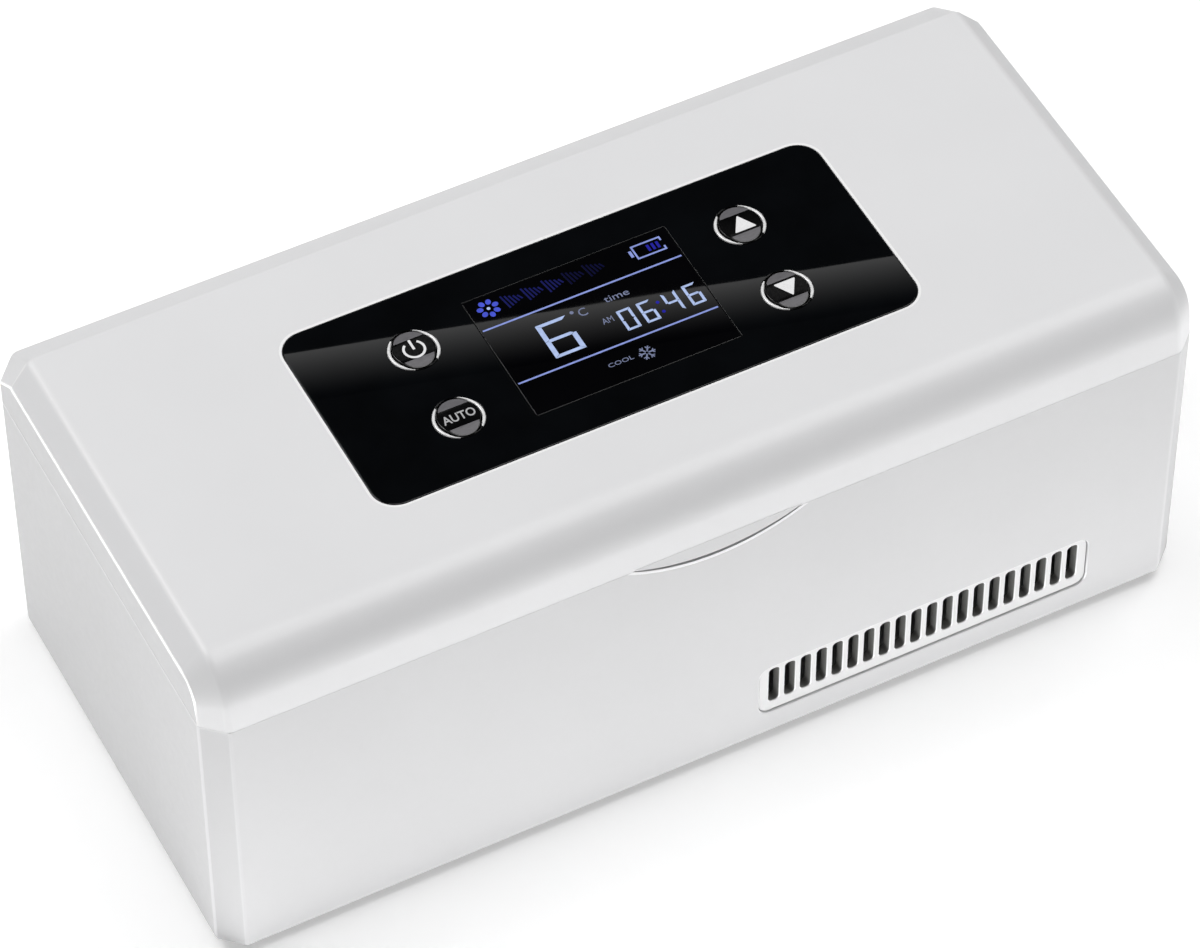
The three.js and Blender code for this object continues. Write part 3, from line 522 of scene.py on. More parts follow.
def carve(bm, tool, operation="DIFFERENCE"):
    """The first mesh with the second cut from it or joined to it."""
    base = link("carved", to_mesh("carved", bm))
    cutter = link("cutter", to_mesh("cutter", tool))
    modifier = base.modifiers.new("carve", "BOOLEAN")
    modifier.operation = operation
    modifier.object = cutter
    modifier.solver = "EXACT"
    result = bmesh.new()
    result.from_object(base, bpy.context.evaluated_depsgraph_get())
    for used in (base, cutter):
        mesh = used.data
        bpy.data.objects.remove(used)
        bpy.data.meshes.remove(mesh)
    bmesh.ops.dissolve_degenerate(result, dist=2 * WELD, edges=result.edges)
    return result


def finish_piece(name, bm, body, slot, replaced=(), finishes=()):
    """Makes a mesh a piece that rides on a body and stands for solids, in its slot's finish or others."""
    piece = link(name, to_mesh(name, bm))
    for finish in finishes or (slot,):
        piece.data.materials.append(finish_of(finish))
    normals = piece.modifiers.new("even_shading", "WEIGHTED_NORMAL")
    normals.mode = "FACE_AREA_WITH_ANGLE"
    normals.weight = 80
    normals.keep_sharp = True
    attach(piece, body)
    if replaced:
        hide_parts(*replaced)
    return piece


def add_word(bm, text, left, right, bottom, top, low, high, weight=0.0):
    """Letters that fill a box, with a weight added to their strokes."""
    curve = bpy.data.curves.new("word", "FONT")
    curve.body = text
    curve.offset = weight
    curve.extrude = 0.1
    curve.resolution_u = 3
    holder = link("word", curve)
    graph = bpy.context.evaluated_depsgraph_get()
    mesh = bpy.data.meshes.new_from_object(holder.evaluated_get(graph))
    letters = [vertex.co.copy() for vertex in mesh.vertices]
    lows = [min(co[axis] for co in letters) for axis in range(3)]
    highs = [max(co[axis] for co in letters) for axis in range(3)]
    for vertex in mesh.vertices:
        share = [(vertex.co[axis] - lows[axis]) / (highs[axis] - lows[axis]) for axis in range(3)]
        vertex.co = (
            left + share[0] * (right - left),
            bottom + share[1] * (top - bottom),
            low + share[2] * (high - low),
        )
    bm.from_mesh(mesh)
    bpy.data.objects.remove(holder)
    bpy.data.curves.remove(curve)
    bpy.data.meshes.remove(mesh)


# Finishes
class Finish:
    """A material with one shader and the textures that drive it."""

    def __init__(self, name, **sockets):
        self.material = bpy.data.materials.new(name)
        self.material.use_nodes = True
        self.nodes = self.material.node_tree.nodes
        self.links = self.material.node_tree.links
        self.shader = self.nodes["Principled BSDF"]
        self.height = None
        for socket, value in sockets.items():
            self.shader.inputs[socket.replace("_", " ")].default_value = value

    def add(self, kind, links=None, **values):
        node = self.nodes.new(kind)
        for name, value in values.items():
            if name in node.inputs:
                node.inputs[name].default_value = value
            else:
                setattr(node, name, value)
        for name, source in (links or {}).items():
            self.links.new(source, node.inputs[name])
        return node

    def place(self, stretch=(1, 1, 1)):
        source = self.add("ShaderNodeTexCoord").outputs["Object"]
        return self.add("ShaderNodeMapping", {"Vector": source}, Scale=stretch).outputs["Vector"]

    def noise(self, size, detail=3.0, stretch=(1, 1, 1)):
        """Noise with features of about the given size."""
        links = {"Vector": self.place(stretch)}
        return self.add("ShaderNodeTexNoise", links, Scale=1 / size, Detail=detail).outputs["Fac"]

    def cells(self, size, stretch=(1, 1, 1)):
        links = {"Vector": self.place(stretch)}
        return self.add("ShaderNodeTexVoronoi", links, Scale=1 / size).outputs["Distance"]

    def span(self, source, low, high, start=0.3, stop=0.7):
        links = {"Value": source}
        values = {"From Min": start, "From Max": stop, "To Min": low, "To Max": high}
        return self.add("ShaderNodeMapRange", links, **values).outputs["Result"]

    def tint(self, source, dark, light, start=0.3, stop=0.7):
        ramp = self.add("ShaderNodeValToRGB", {"Fac": source})
        for element, position, shade in zip(ramp.color_ramp.elements, (start, stop), (dark, light)):
            element.position = position
            element.color = (*shade, 1)
        return ramp.outputs["Color"]

    def drive(self, socket, source):
        self.links.new(source, self.shader.inputs[socket])

    def paint(self, source, dark, light, start=0.3, stop=0.7):
        self.drive("Base Color", self.tint(source, dark, light, start, stop))

    def gloss(self, source, low, high):
        self.drive("Roughness", self.span(source, low, high))

    def relief(self, source, depth, strength):
        """Fine bumps, laid over any made before."""
        links = {"Height": source}
        if self.height:
            links["Normal"] = self.height
        bump = self.add("ShaderNodeBump", links, Distance=depth, Strength=strength)
        self.height = bump.outputs["Normal"]
        self.drive("Normal", self.height)


def shade_of(name):
    return tuple(getattr(settings().colours, name))


def shaded(shade, factor):
    return tuple(min(channel * factor, 1) for channel in shade)


def pearl_finish(shade_name):
    """Moulded white with a pearl coat and a highlight painted along its edges."""
    shade = shade_of(shade_name)
    finish = Finish(f"{shade_name}_white", Coat_Weight=0.2, Coat_Roughness=0.2)
    body = finish.tint(finish.noise(0.03, detail=2), shaded(shade, 0.988), shaded(shade, 1.008))
    # Painted highlight: a paler colour where edges are tightly rounded
    edges = finish.add("ShaderNodeAttribute", attribute_name=EDGE_HIGHLIGHT).outputs["Fac"]
    pale = finish.add("ShaderNodeMix", {"Factor": edges}, data_type="RGBA")
    finish.links.new(body, pale.inputs["A"])
    pale.inputs["B"].default_value = (*shaded(shade, HIGHLIGHT_LIFT), 1)
    finish.drive("Base Color", pale.outputs["Result"])
    gleam = finish.add("ShaderNodeAttribute", attribute_name=EDGE_GLEAM).outputs["Fac"]
    finish.drive("Metallic", finish.span(gleam, 0, 1))
    finish.gloss(finish.noise(0.0015, detail=4), low=0.42, high=0.52)
    finish.relief(finish.noise(0.0004, detail=2), depth=0.004 * MM, strength=0.35)
    finish.relief(finish.noise(0.02, detail=1), depth=0.03 * MM, strength=0.25)
    return finish.material


def white_finish():
    shade = shade_of("white")
    finish = Finish("white_plastic")
    finish.paint(finish.noise(0.015), shaded(shade, 0.96), shaded(shade, 1.02))
    finish.gloss(finish.noise(0.002), low=0.45, high=0.62)
    finish.relief(finish.cells(0.0006), depth=0.02 * MM, strength=0.5)
    return finish.material


def gloss_finish(name, shade_name, rough):
    shade = shade_of(shade_name)
    finish = Finish(name)
    finish.paint(finish.noise(0.01), shaded(shade, 0.8), shaded(shade, 1.3))
    finish.gloss(finish.noise(0.004, detail=5), low=rough, high=rough * 1.5)
    finish.relief(finish.noise(0.03, detail=1), depth=0.001 * MM, strength=0.2)
    return finish.material


def black_finish():
    finish = Finish("black_plastic")
    finish.paint(finish.noise(0.006), (0.010, 0.010, 0.011), (0.018, 0.018, 0.019))
    finish.gloss(finish.noise(0.001), low=0.4, high=0.6)
    finish.relief(finish.cells(0.0005), depth=0.02 * MM, strength=0.5)
    return finish.material


def key_cap_finish():
    finish = Finish("key_black")
    finish.paint(finish.noise(0.002), (0.0016, 0.0016, 0.0018), (0.003, 0.003, 0.0032))
    finish.gloss(finish.noise(0.0006), low=0.06, high=0.1)
    finish.relief(finish.noise(0.0006, detail=2), depth=0.001 * MM, strength=0.3)
    return finish.material


def board_finish():
    finish = Finish("circuit_board")
    tracks = finish.cells(0.004, stretch=(1, 0.5, 1))
    finish.paint(tracks, (0.004, 0.030, 0.012), (0.012, 0.075, 0.028), stop=0.34)
    finish.gloss(finish.noise(0.002), low=0.3, high=0.45)
    finish.relief(tracks, depth=0.03 * MM, strength=0.6)
    return finish.material


def glow_finish(shade_name):
    """Lit marks of the readout, a little uneven as liquid crystal is."""
    shade = shade_of(shade_name)
    finish = Finish(f"readout_{shade_name}", Emission_Strength=1.0, Roughness=0.3, Specular_IOR_Level=0.1)
    grain = finish.noise(0.0012, detail=2)
    finish.drive("Emission Color", finish.tint(grain, shaded(shade, 0.8), shade))
    finish.paint(grain, shaded(shade, 0.04), shaded(shade, 0.06))
    return finish.material


def print_finish(name, shade_name):
    shade = shade_of(shade_name)
    finish = Finish(name)
    finish.paint(finish.noise(0.0003), shaded(shade, 0.9), shade)
    finish.gloss(finish.noise(0.0003), low=0.4, high=0.55)
    return finish.material


def grain_finish(name, dark, light, grain, rough, relief, **sockets):
    """One grain of a size, detail and stretch in colour, in a span of roughness and in relief."""
    finish = Finish(name, **sockets)
    source = finish.noise(*grain)
    finish.paint(source, dark, light)
    finish.gloss(source, *rough)
    finish.relief(source, *relief)
    return finish.material


# Grey of the keys' sloped flats: a painted reflection
def painted_reflection_finish():
    shade = shade_of("key_flat")
    dark, light, brushed = shaded(shade, 0.88), shaded(shade, 1.1), (0.0002, 2, (0.15, 1, 1))
    rough, relief = (0.35, 0.5), (0.003 * MM, 0.5)
    return grain_finish("key_flat_grey", dark, light, brushed, rough, relief)


def silver_finish():
    """Bright satin trim."""
    shade = shade_of("trim")
    grain, rough, relief = (0.0006, 3), (0.24, 0.36), (0.002 * MM, 0.4)
    return grain_finish("bright_silver", shaded(shade, 0.94), shade, grain, rough, relief, Metallic=0.15)


def cell_wrap_finish():
    dark, light, wrap = (0.02, 0.09, 0.26), (0.03, 0.12, 0.34), (0.003, 3, (0.2, 1, 1))
    rough, relief = (0.28, 0.4), (0.02 * MM, 0.4)
    coat = {"Coat_Weight": 0.4, "Coat_Roughness": 0.15}
    return grain_finish("battery_wrap", dark, light, wrap, rough, relief, **coat)


def metal_finish(name, shade, rough, size, stretch):
    dark, light, grain = shaded(shade, 0.9), shaded(shade, 1.05), (size, 3, stretch)
    spread, relief = (rough * 0.8, rough * 1.3), (0.004 * MM, 0.5)
    return grain_finish(name, dark, light, grain, spread, relief, Metallic=1.0)


def matte_finish(name, dark, light, size, rough, depth):
    """Rubber, foam, ceramic and jackets."""
    grain, relief = (size, 4), (depth, 0.6)
    spread = (rough - 0.08, min(rough + 0.08, 1))
    return grain_finish(name, dark, light, grain, spread, relief)


# Dark and light shade, size of the grain, roughness and depth of the relief
MATTE_FINISHES = {
    # Slot grey is painted shade on the walls inside the grille's slots
    "slot_painted_shade": ((0.25, 0.25, 0.24), (0.31, 0.31, 0.30), 0.001, 0.6, 0.01 * MM),
    "rubber": ((0.05, 0.05, 0.052), (0.075, 0.075, 0.077), 0.0006, 0.75, 0.03 * MM),
    "foam": ((0.50, 0.48, 0.42), (0.62, 0.60, 0.53), 0.0012, 0.9, 0.25 * MM),
    "ceramic": ((0.70, 0.69, 0.66), (0.80, 0.79, 0.77), 0.0008, 0.5, 0.01 * MM),
    "black_metal": ((0.012, 0.012, 0.013), (0.02, 0.02, 0.021), 0.0004, 0.45, 0.004 * MM),
    "cable_jacket": ((0.012, 0.012, 0.013), (0.025, 0.025, 0.027), 0.001, 0.5, 0.01 * MM),
}
MOULDED_SHADES = ("pearl", "shell", "vent", "rim")
READOUT_SHADES = ("bright", "rule", "blue", "deep", "grey", "dim", "faint")
FINISH_MAKERS = {
    "white_plastic": white_finish,
    "panel_black": partial(gloss_finish, "panel_black", "panel", 0.006),
    "display_glass": partial(gloss_finish, "display_glass", "glass", 0.008),
    "black_plastic": black_finish,
    "chrome": silver_finish,
    "steel": partial(metal_finish, "steel", (0.52, 0.52, 0.53), 0.3, 0.0005, (1, 1, 0.1)),
    "aluminium": partial(metal_finish, "aluminium", (0.72, 0.73, 0.74), 0.36, 0.0004, (0.03, 1, 1)),
    "circuit_board": board_finish,
    "battery_wrap": cell_wrap_finish,
    "key_black": key_cap_finish,
    "key_flat": painted_reflection_finish,
    "key_print": partial(print_finish, "key_print", "print"),
    "grey_print": partial(print_finish, "grey_print", "grey_print"),
    **{name: partial(matte_finish, name, *values) for name, values in MATTE_FINISHES.items()},
    **{f"{shade}_white": partial(pearl_finish, shade) for shade in MOULDED_SHADES},
    **{shade: partial(glow_finish, shade) for shade in READOUT_SHADES},
}
finishes_made = {}


def finish_of(name):
    """The material of one finish, made once."""
    if name not in finishes_made:
        finishes_made[name] = FINISH_MAKERS[name]()
    return finishes_made[name]


# Shells
def knuckle_spans(margin=0.0):
    """Spans of X of the lid's knuckles and of the housing's knuckles."""
    sizes = settings().hinge
    half = sizes.lid_length / 2
    near, far = half + sizes.gap, half + sizes.gap + sizes.case_length
    lid_spans, case_spans = [], []
    for side in (-1, 1):
        middle = side * sizes.offset
        lid_spans.append((middle - half - margin, middle + half + margin))
        case_spans.append((middle - far - margin, middle - near + margin))
        case_spans.append((middle + near - margin, middle + far + margin))
    return lid_spans, case_spans


def hinge_rods(spans, radius, edge=0.0):
    bm = bmesh.new()
    for start, end in spans:
        prism(bm, disc(BACK, SEAM, radius), "x", start, end, edge, edge)
    return bm


def hinge_bores():
    sizes = settings().hinge
    reach = sizes.lid_length / 2 + sizes.gap + sizes.case_length + PAST
    spans = [(side * sizes.offset - reach, side * sizes.offset + reach) for side in (-1, 1)]
    return hinge_rods(spans, sizes.bore)


def vent_window(bm, start, end, start_round, end_round):
    sizes = settings().vent
    width, height = sizes.width + 2 * sizes.gap, sizes.height + 2 * sizes.gap
    window = rectangle(VENT_MIDDLE.x, VENT_MIDDLE.z, width, height, sizes.corner + sizes.gap)
    prism(bm, window, "y", start, end, start_round, end_round)


def on_notch_rim(face):
    """Whether a face of the housing lies on the sloped rim of the pull notch."""
    side, low, high = settings().shell.lip_half + 3 * MM, SEAM - 12 * MM, SEAM - 0.3 * MM
    deepest = FRONT + 0.6 * MM
    least_slope, most_slope = 0.1, 0.99
    spot = face.calc_center_median()
    by_lip = abs(spot.x) < side and low < spot.z < high and spot.y < deepest
    return by_lip and least_slope < -face.normal.y < most_slope


def housing_mesh():
    sizes = settings().shell
    hinge = settings().hinge
    top = SEAM - sizes.seam_gap / 2
    below = top - sizes.rim_band
    corners = [(-sizes.wall, UNDERSIDE), (0, UNDERSIDE), (0, below), (0, top), (-sizes.wall, top)]
    section = rounded_loop(corners, [SMALL_EDGE, sizes.base_round, 0, sizes.rim_round, SMALL_EDGE])
    bm = stacked(case_plan, "z", section, closed=True)
    through = sizes.wall + PAST
    cuts = bmesh.new()
    vent_window(cuts, FRONT, FRONT + through, -sizes.edge, 0)
    vent_window(cuts, BACK - through, BACK, 0, -sizes.edge)
    notch = crescent(sizes.lip_half + sizes.lip_side, sizes.lip_drop + sizes.lip_gap)
    levels = [(sizes.notch_rim, FRONT - PAST), (sizes.notch_rim, FRONT), (0, FRONT + sizes.notch_drop)]
    stack(cuts, notch, "y", levels + [(0, FRONT + sizes.lip_thick + sizes.lip_room)])
    prism(cuts, disc(INLET_X, INLET_Z, INLET_HOLE), "y", BACK - through, BACK, 0, -sizes.edge)
    bm = carve(bm, cuts)
    room, _ = knuckle_spans(hinge.gap)
    bm = carve(bm, hinge_rods(room, hinge.radius + hinge.gap))
    _, case_spans = knuckle_spans()
    bm = carve(bm, hinge_rods(case_spans, hinge.radius, SMALL_EDGE), "UNION")
    bm = carve(bm, hinge_bores())
    bm.normal_update()
    # The notch's sloped rim takes the paler pearl white as a painted highlight, the rest of the housing the shell
    # white
    for face in bm.faces:
        face.material_index = 1 if on_notch_rim(face) else 0
    return bm


def lid_section(inset, bottom):
    """The lid's end view from its front lower edge over the top to its back lower edge."""
    sizes = settings().shell
    lean = math.tan(sizes.front_lean)
    depth = 20 * MM
    below = SEAM - depth
    corners = [
        (FRONT + (below - SEAM) * lean, below),
        (BACK, below),
        (BACK, LID_TOP - sizes.back_down),
        (BACK - sizes.back_along, LID_TOP),
        (FRONT + (LID_TOP - SEAM) * lean, LID_TOP),
    ]
    front_low, _, back_low, back_high, front_high = grown([Vector(corner) for corner in corners], -inset)
    back_edge = max(sizes.back_edge - inset / 2, SMALL_EDGE)
    share = (bottom - front_low.y) / (front_high.y - front_low.y)
    start = front_low.lerp(front_high, share)
    path = [start] + corner_arc(start, front_high, back_high, sizes.front_round - inset, steps=16)
    path += corner_arc(front_high, back_high, back_low, back_edge, steps=5)
    end = Vector((back_low.x, bottom))
    return path + corner_arc(back_high, back_low, end, back_edge, steps=5) + [end]


def lid_block(extra, bottom):
    """The lid's form along X with its chamfered ends, every face moved in by an extra amount."""
    sizes = settings().shell
    end = HALF - extra
    end_wall = 1.5 * MM
    corners = [
        (0, extra),
        (end - sizes.chamfer_along, extra),
        (end, extra + sizes.chamfer_inset),
        (end, extra + sizes.chamfer_inset + end_wall),
    ]
    right = rounded_path(corners, [2 * sizes.chamfer_edge, sizes.chamfer_edge], steps=5)[1:]
    stations = [(-x, inset) for x, inset in reversed(right)] + [(x, inset) for x, inset in right]
    bm = bmesh.new()
    rings = [[bm.verts.new((x, y, z)) for y, z in lid_section(inset, bottom)] for x, inset in stations]
    skin(bm, rings)
    bm.faces.new(rings[0])
    bm.faces.new(rings[-1])
    return bm


def cut_end_steps(bm):
    """The lid with its end walls set in from its chamfers."""
    sizes = settings().shell
    height = LID_TOP - sizes.chamfer_inset - sizes.chamfer_edge / 2 - SEAM + PAST
    strip = rectangle(MIDDLE_Y, SEAM - PAST + height / 2, BACK - FRONT, height)
    for side in (-1, 1):
        start, end = sorted((side * (HALF - sizes.end_step), side * (HALF + PAST)))
        bm = carve(bm, solid(strip, "x", start, end))
    return bm


def panel_seat():
    """The panel's seat with its sloped rim."""
    panel = settings().panel
    gap = panel.seat_gap
    width, depth = ((PANEL_HIGH - PANEL_LOW)[axis] + 2 * gap for axis in range(2))
    outline = rectangle(PANEL_MIDDLE.x, PANEL_MIDDLE.y, width, depth, panel.corner + gap, steps=10)
    levels = [(0, LID_TOP - panel.recess), (0, LID_TOP - panel.rim_drop)]
    return stacked(outline, "z", levels + [(panel.rim, LID_TOP), (panel.rim, LID_TOP + PAST)])


def lid_holes():
    """Holes through the lid for the display and the keys."""
    spare = 0.4 * MM
    low, high, _ = node_box("lcd_module")
    width, depth = high.x - low.x + 2 * spare, high.y - low.y + 2 * spare
    under = LID_TOP - settings().shell.wall - PAST
    outline = rectangle(PANEL_MIDDLE.x, PANEL_MIDDLE.y, width, depth, spare)
    bm = solid(outline, "z", under, LID_TOP)
    for key in KEYS:
        place = node_middle(f"{key}_button")
        prism(bm, disc(place.x, place.y, settings().panel.flange + spare), "z", under, LID_TOP)
    return bm


def lid_finish(face):
    """Two on the sloped rim of the panel's seat, a paler white as a painted highlight; one on the pull lip and the
    end walls, a darker white as painted shade; zero elsewhere.
    """
    sizes = settings().shell
    panel = settings().panel
    spot, normal = face.calc_center_median(), face.normal
    reach = (PANEL_HIGH - PANEL_LOW) / 2
    margin = panel.seat_gap + panel.rim
    by_panel = all(abs(spot[axis] - PANEL_MIDDLE[axis]) < reach[axis] + margin for axis in range(2))
    steepest, flattest = 0.9, 0.999
    if by_panel and steepest < normal.z < flattest:
        return 2
    on_lip = spot.z < SEAM + sizes.seam_gap / 2 and spot.y < FRONT + sizes.wall
    endward = 0.95
    on_end = abs(spot.x) > HALF - 1.1 * sizes.end_step and abs(normal.x) > endward
    return 1 if on_lip or on_end else 0


def lid_mesh():
    sizes = settings().shell
    hinge = settings().hinge
    bm = carve(lid_block(0, SEAM + sizes.seam_gap / 2), lid_block(sizes.wall, SEAM - PAST))
    bm = cut_end_steps(bm)
    bm = carve(bm, panel_seat())
    bm = carve(bm, lid_holes())
    _, room = knuckle_spans(hinge.gap)
    bm = carve(bm, hinge_rods(room, hinge.radius + hinge.gap))
    lid_spans, _ = knuckle_spans()
    added = hinge_rods(lid_spans, hinge.radius, SMALL_EDGE)
    lip = crescent(sizes.lip_half, sizes.lip_drop)
    prism(added, lip, "y", FRONT, FRONT + sizes.lip_thick, SMALL_EDGE, FINE_EDGE)
    bm = carve(bm, added, "UNION")
    bm = carve(bm, hinge_bores())
    bm.normal_update()
    for face in bm.faces:
        face.material_index = lid_finish(face)
    return bm


class CASE_OT_housing(bpy.types.Operator):
    """Model the lower shell with its vent windows, pull notch and hinge knuckles"""

    bl_idname = "cooling_case.housing"
    bl_label = "Housing Shell"

    def execute(self, context):
        # Shell white on the housing, partly painted shade, and the paler pearl white on the pull notch's rim as a
        # painted highlight
        white = ("shell_white", "pearl_white")
        finish_piece("housing_shell", housing_mesh(), "case", "pearl_white", ["main_housing"], white)
        return {"FINISHED"}


class CASE_OT_lid(bpy.types.Operator):
    """Model the lid with its bullnose front, chamfers, pull lip and panel seat"""

    bl_idname = "cooling_case.lid"
    bl_label = "Lid Shell"

    def execute(self, context):
        # Shell white paints shade on the lid's end walls and pull lip, and rim white paints a highlight round the
        # panel's seat
        white = ("pearl_white", "shell_white", "rim_white")
        finish_piece("lid_top", lid_mesh(), "lid", "pearl_white", ["lid_shell"], white)
        return {"FINISHED"}


# Panel and readout
def panel_mesh():
    sizes = settings().panel
    low, high, middle = node_box("control_panel")
    outline = rectangle(middle.x, middle.y, high.x - low.x, high.y - low.y, sizes.corner, steps=10)
    bm = solid(outline, "z", low.z, high.z, 0, sizes.edge)
    window = WINDOW_HIGH - WINDOW_LOW
    window_gap, window_flare = 0.1 * MM, 0.08 * MM
    ring_gap, ring_flare = 0.05 * MM, 0.1 * MM
    width, depth = window.x + 2 * window_gap, window.y + 2 * window_gap
    outline = rectangle(middle.x, middle.y, width, depth, SMALL_EDGE)
    holes = solid(outline, "z", low.z - PAST, high.z, 0, -window_flare)
    for key in KEYS:
        place = node_middle(f"{key}_button")
        hole = disc(place.x, place.y, sizes.ring_outer + ring_gap, steps=96)
        prism(holes, hole, "z", low.z - PAST, high.z, 0, -ring_flare)
    return carve(bm, holes)


def window_mesh():
    low, high, middle = node_box("display_window")
    bevel = 0.12 * MM
    outline = rectangle(middle.x, middle.y, high.x - low.x, high.y - low.y, SMALL_EDGE)
    return solid(outline, "z", low.z, high.z, 0, bevel)


class CASE_OT_panel(bpy.types.Operator):
    """Model the gloss control panel and the window of its display"""

    bl_idname = "cooling_case.panel"
    bl_label = "Control Panel"

    def execute(self, context):
        finish_piece("panel_plate", panel_mesh(), "lid", "panel_black", ["control_panel"])
        finish_piece("display_glass", window_mesh(), "lid", "display_glass", ["display_window"])
        return {"FINISHED"}


# The strokes that each figure of the display lights
SEGMENTS = {"0": "abcdef", "4": "bcfg", "6": "acdefg"}
# The fan's place on the display, in millimetres from the window's middle
FAN_SPOT = Vector((-17.8, 12.6))


class Readout:
    """Marks on the display, placed in millimetres from the window's middle."""

    def __init__(self):
        self.bm = bmesh.new()
        self.middle = WINDOW_MIDDLE
        self.low = WINDOW_HIGH.z - BITE
        self.high = WINDOW_HIGH.z + INK

    def mark(self, points):
        loop = [(self.middle.x + x * MM, self.middle.y + y * MM) for x, y in points]
        slab(self.bm, loop, self.low, self.high)

    def bar(self, start, end, width):
        start, end = Vector(start), Vector(end)
        side = (end - start).normalized().orthogonal() * width / 2
        self.mark([start - side, end - side, end + side, start + side])

    def blob(self, x, y, long, wide, turn=0.0, steps=14):
        """An ellipse with half axes long and wide, turned about its middle."""
        loop = []
        for step in range(steps):
            share = 2 * math.pi * step / steps
            along, across = long * math.cos(share), wide * math.sin(share)
            loop.append((
                x + along * math.cos(turn) - across * math.sin(turn),
                y + along * math.sin(turn) + across * math.cos(turn),
            ))
        self.mark(loop)

    def digit(self, figure, left, bottom, width, height, level, upright, gap=0.05):
        """A seven-segment figure that fills a box, its level and upright strokes of two widths."""
        right, top = left + width, bottom + height
        middle, waist = left + width / 2, bottom + height / 2
        inner, far = left + upright, right - upright
        bar = [(left + gap, top), (right - gap, top), (far - gap, top - level), (inner + gap, top - level)]
        post = [(left, top - gap), (inner, top - level - gap), (inner, waist + level / 2 + gap)]
        post += [(left + upright / 2, waist + gap), (left, waist + gap)]
        belt = [(inner - upright / 2 + gap, waist), (inner + gap, waist + level / 2)]
        belt += [(far - gap, waist + level / 2), (far + upright / 2 - gap, waist)]
        belt += [(far - gap, waist - level / 2), (inner + gap, waist - level / 2)]
        segments = {
            "a": (bar, 1, 1),
            "b": (post, -1, 1),
            "c": (post, -1, -1),
            "d": (bar, 1, -1),
            "e": (post, 1, -1),
            "f": (post, 1, 1),
            "g": (belt, 1, 1),
        }
        for name in SEGMENTS[figure]:
            points, across, along = segments[name]
            self.mark([(middle + across * (x - middle), waist + along * (y - waist)) for x, y in points])

    def word(self, text, left, right, bottom, top):
        across = [self.middle.x + place * MM for place in (left, right)]
        along = [self.middle.y + place * MM for place in (bottom, top)]
        add_word(self.bm, text, *across, *along, self.low, self.high)

    def finish(self, name, shade_name):
        finish_piece(name, self.bm, "lid", "display_glass", finishes=[shade_name])


def readout_figures():
    """Temperature and clock, and the fan's hub."""
    marks = Readout()
    marks.digit("6", left=-12.1, bottom=-4.8, width=6.5, height=9.1, level=0.72, upright=1.0)
    for figure, left in zip("0646", (3.35, 7.6, 12.9, 17.4)):
        marks.digit(figure, left, bottom=-4.85, width=2.9, height=5.45, level=0.5, upright=0.56)
    marks.blob(*FAN_SPOT, long=0.36, wide=0.36)
    marks.finish("readout_figures", "bright")


def readout_rules():
    """The two rules across the display and the battery's outline, open at its far end."""
    marks = Readout()
    half_rule, rule_width = 21.4, 0.37
    for height in (7.8, -7.2):
        marks.bar((-half_rule, height), (half_rule, height), rule_width)
    left, right, low, high, line, hook = 13.5, 19.9, 10.8, 14.1, 0.36, 0.9
    near, far = left + line / 2, right - line / 2
    marks.bar((left, low), (right, low), line)
    marks.bar((left, high), (right, high), line)
    marks.bar((near, low + line / 2), (near, high - line / 2), line)
    for end, sense in ((low, 1), (high, -1)):
        marks.bar((far, end + sense * line / 2), (far, end + sense * hook), line)
    pole, pole_low, pole_high, pole_width = 12.9, 11.6, 13.3, 0.6
    marks.bar((pole, pole_low), (pole, pole_high), pole_width)
    marks.finish("readout_rules", "rule")


def readout_fan():
    """A ring of petals."""
    marks = Readout()
    petals, first, radius = 7, 0.3, 1.68
    for petal in range(petals):
        turn = 2 * math.pi * (petal + first) / petals
        spot = FAN_SPOT + Vector((math.cos(turn), math.sin(turn))) * radius
        marks.blob(*spot, long=0.68, wide=0.56, turn=turn)
    marks.finish("readout_fan", "blue")


def readout_bars():
    """Bars in the battery and the clock's colon."""
    marks = Readout()
    low, high, width = 11.6, 13.3, 0.55
    for x in (16.7, 17.7, 18.7):
        marks.bar((x, low), (x, high), width)
    for y in (-0.9, -3.5):
        marks.blob(11.65, y, long=0.36, wide=0.36)
    marks.finish("readout_bars", "deep")


def add_snowflake(marks, middle):
    """Six arms, each with two barbs."""
    hub, reach, stroke = 0.3, 1.75, 0.3
    lean, barb_start, barb_end, barb_stroke = 0.8, 0.2, 0.7, 0.2
    for arm in range(6):
        turn = math.pi / 3 * arm
        tip = Vector((math.cos(turn), math.sin(turn)))
        marks.bar(middle + tip * hub, middle + tip * reach, stroke)
        for aim in (turn - lean, turn + lean):
            barb = Vector((math.cos(aim), math.sin(aim)))
            marks.bar(middle + tip + barb * barb_start, middle + tip + barb * barb_end, barb_stroke)


def readout_words():
    """Words, the degree sign and a snowflake."""
    marks = Readout()
    marks.blob(-4.2, 4.3, long=0.4, wide=0.4)
    marks.word("C", left=-3.1, right=-1.4, bottom=2.5, top=4.5)
    marks.word("time", left=2.8, right=8.0, bottom=3.5, top=5.0)
    marks.word("AM", left=-0.1, right=2.2, bottom=-1.3, top=0.2)
    marks.word("COOL", left=-4.2, right=1.1, bottom=-11.6, top=-10.6)
    add_snowflake(marks, Vector((3.9, -11.4)))
    marks.finish("readout_words", "grey")


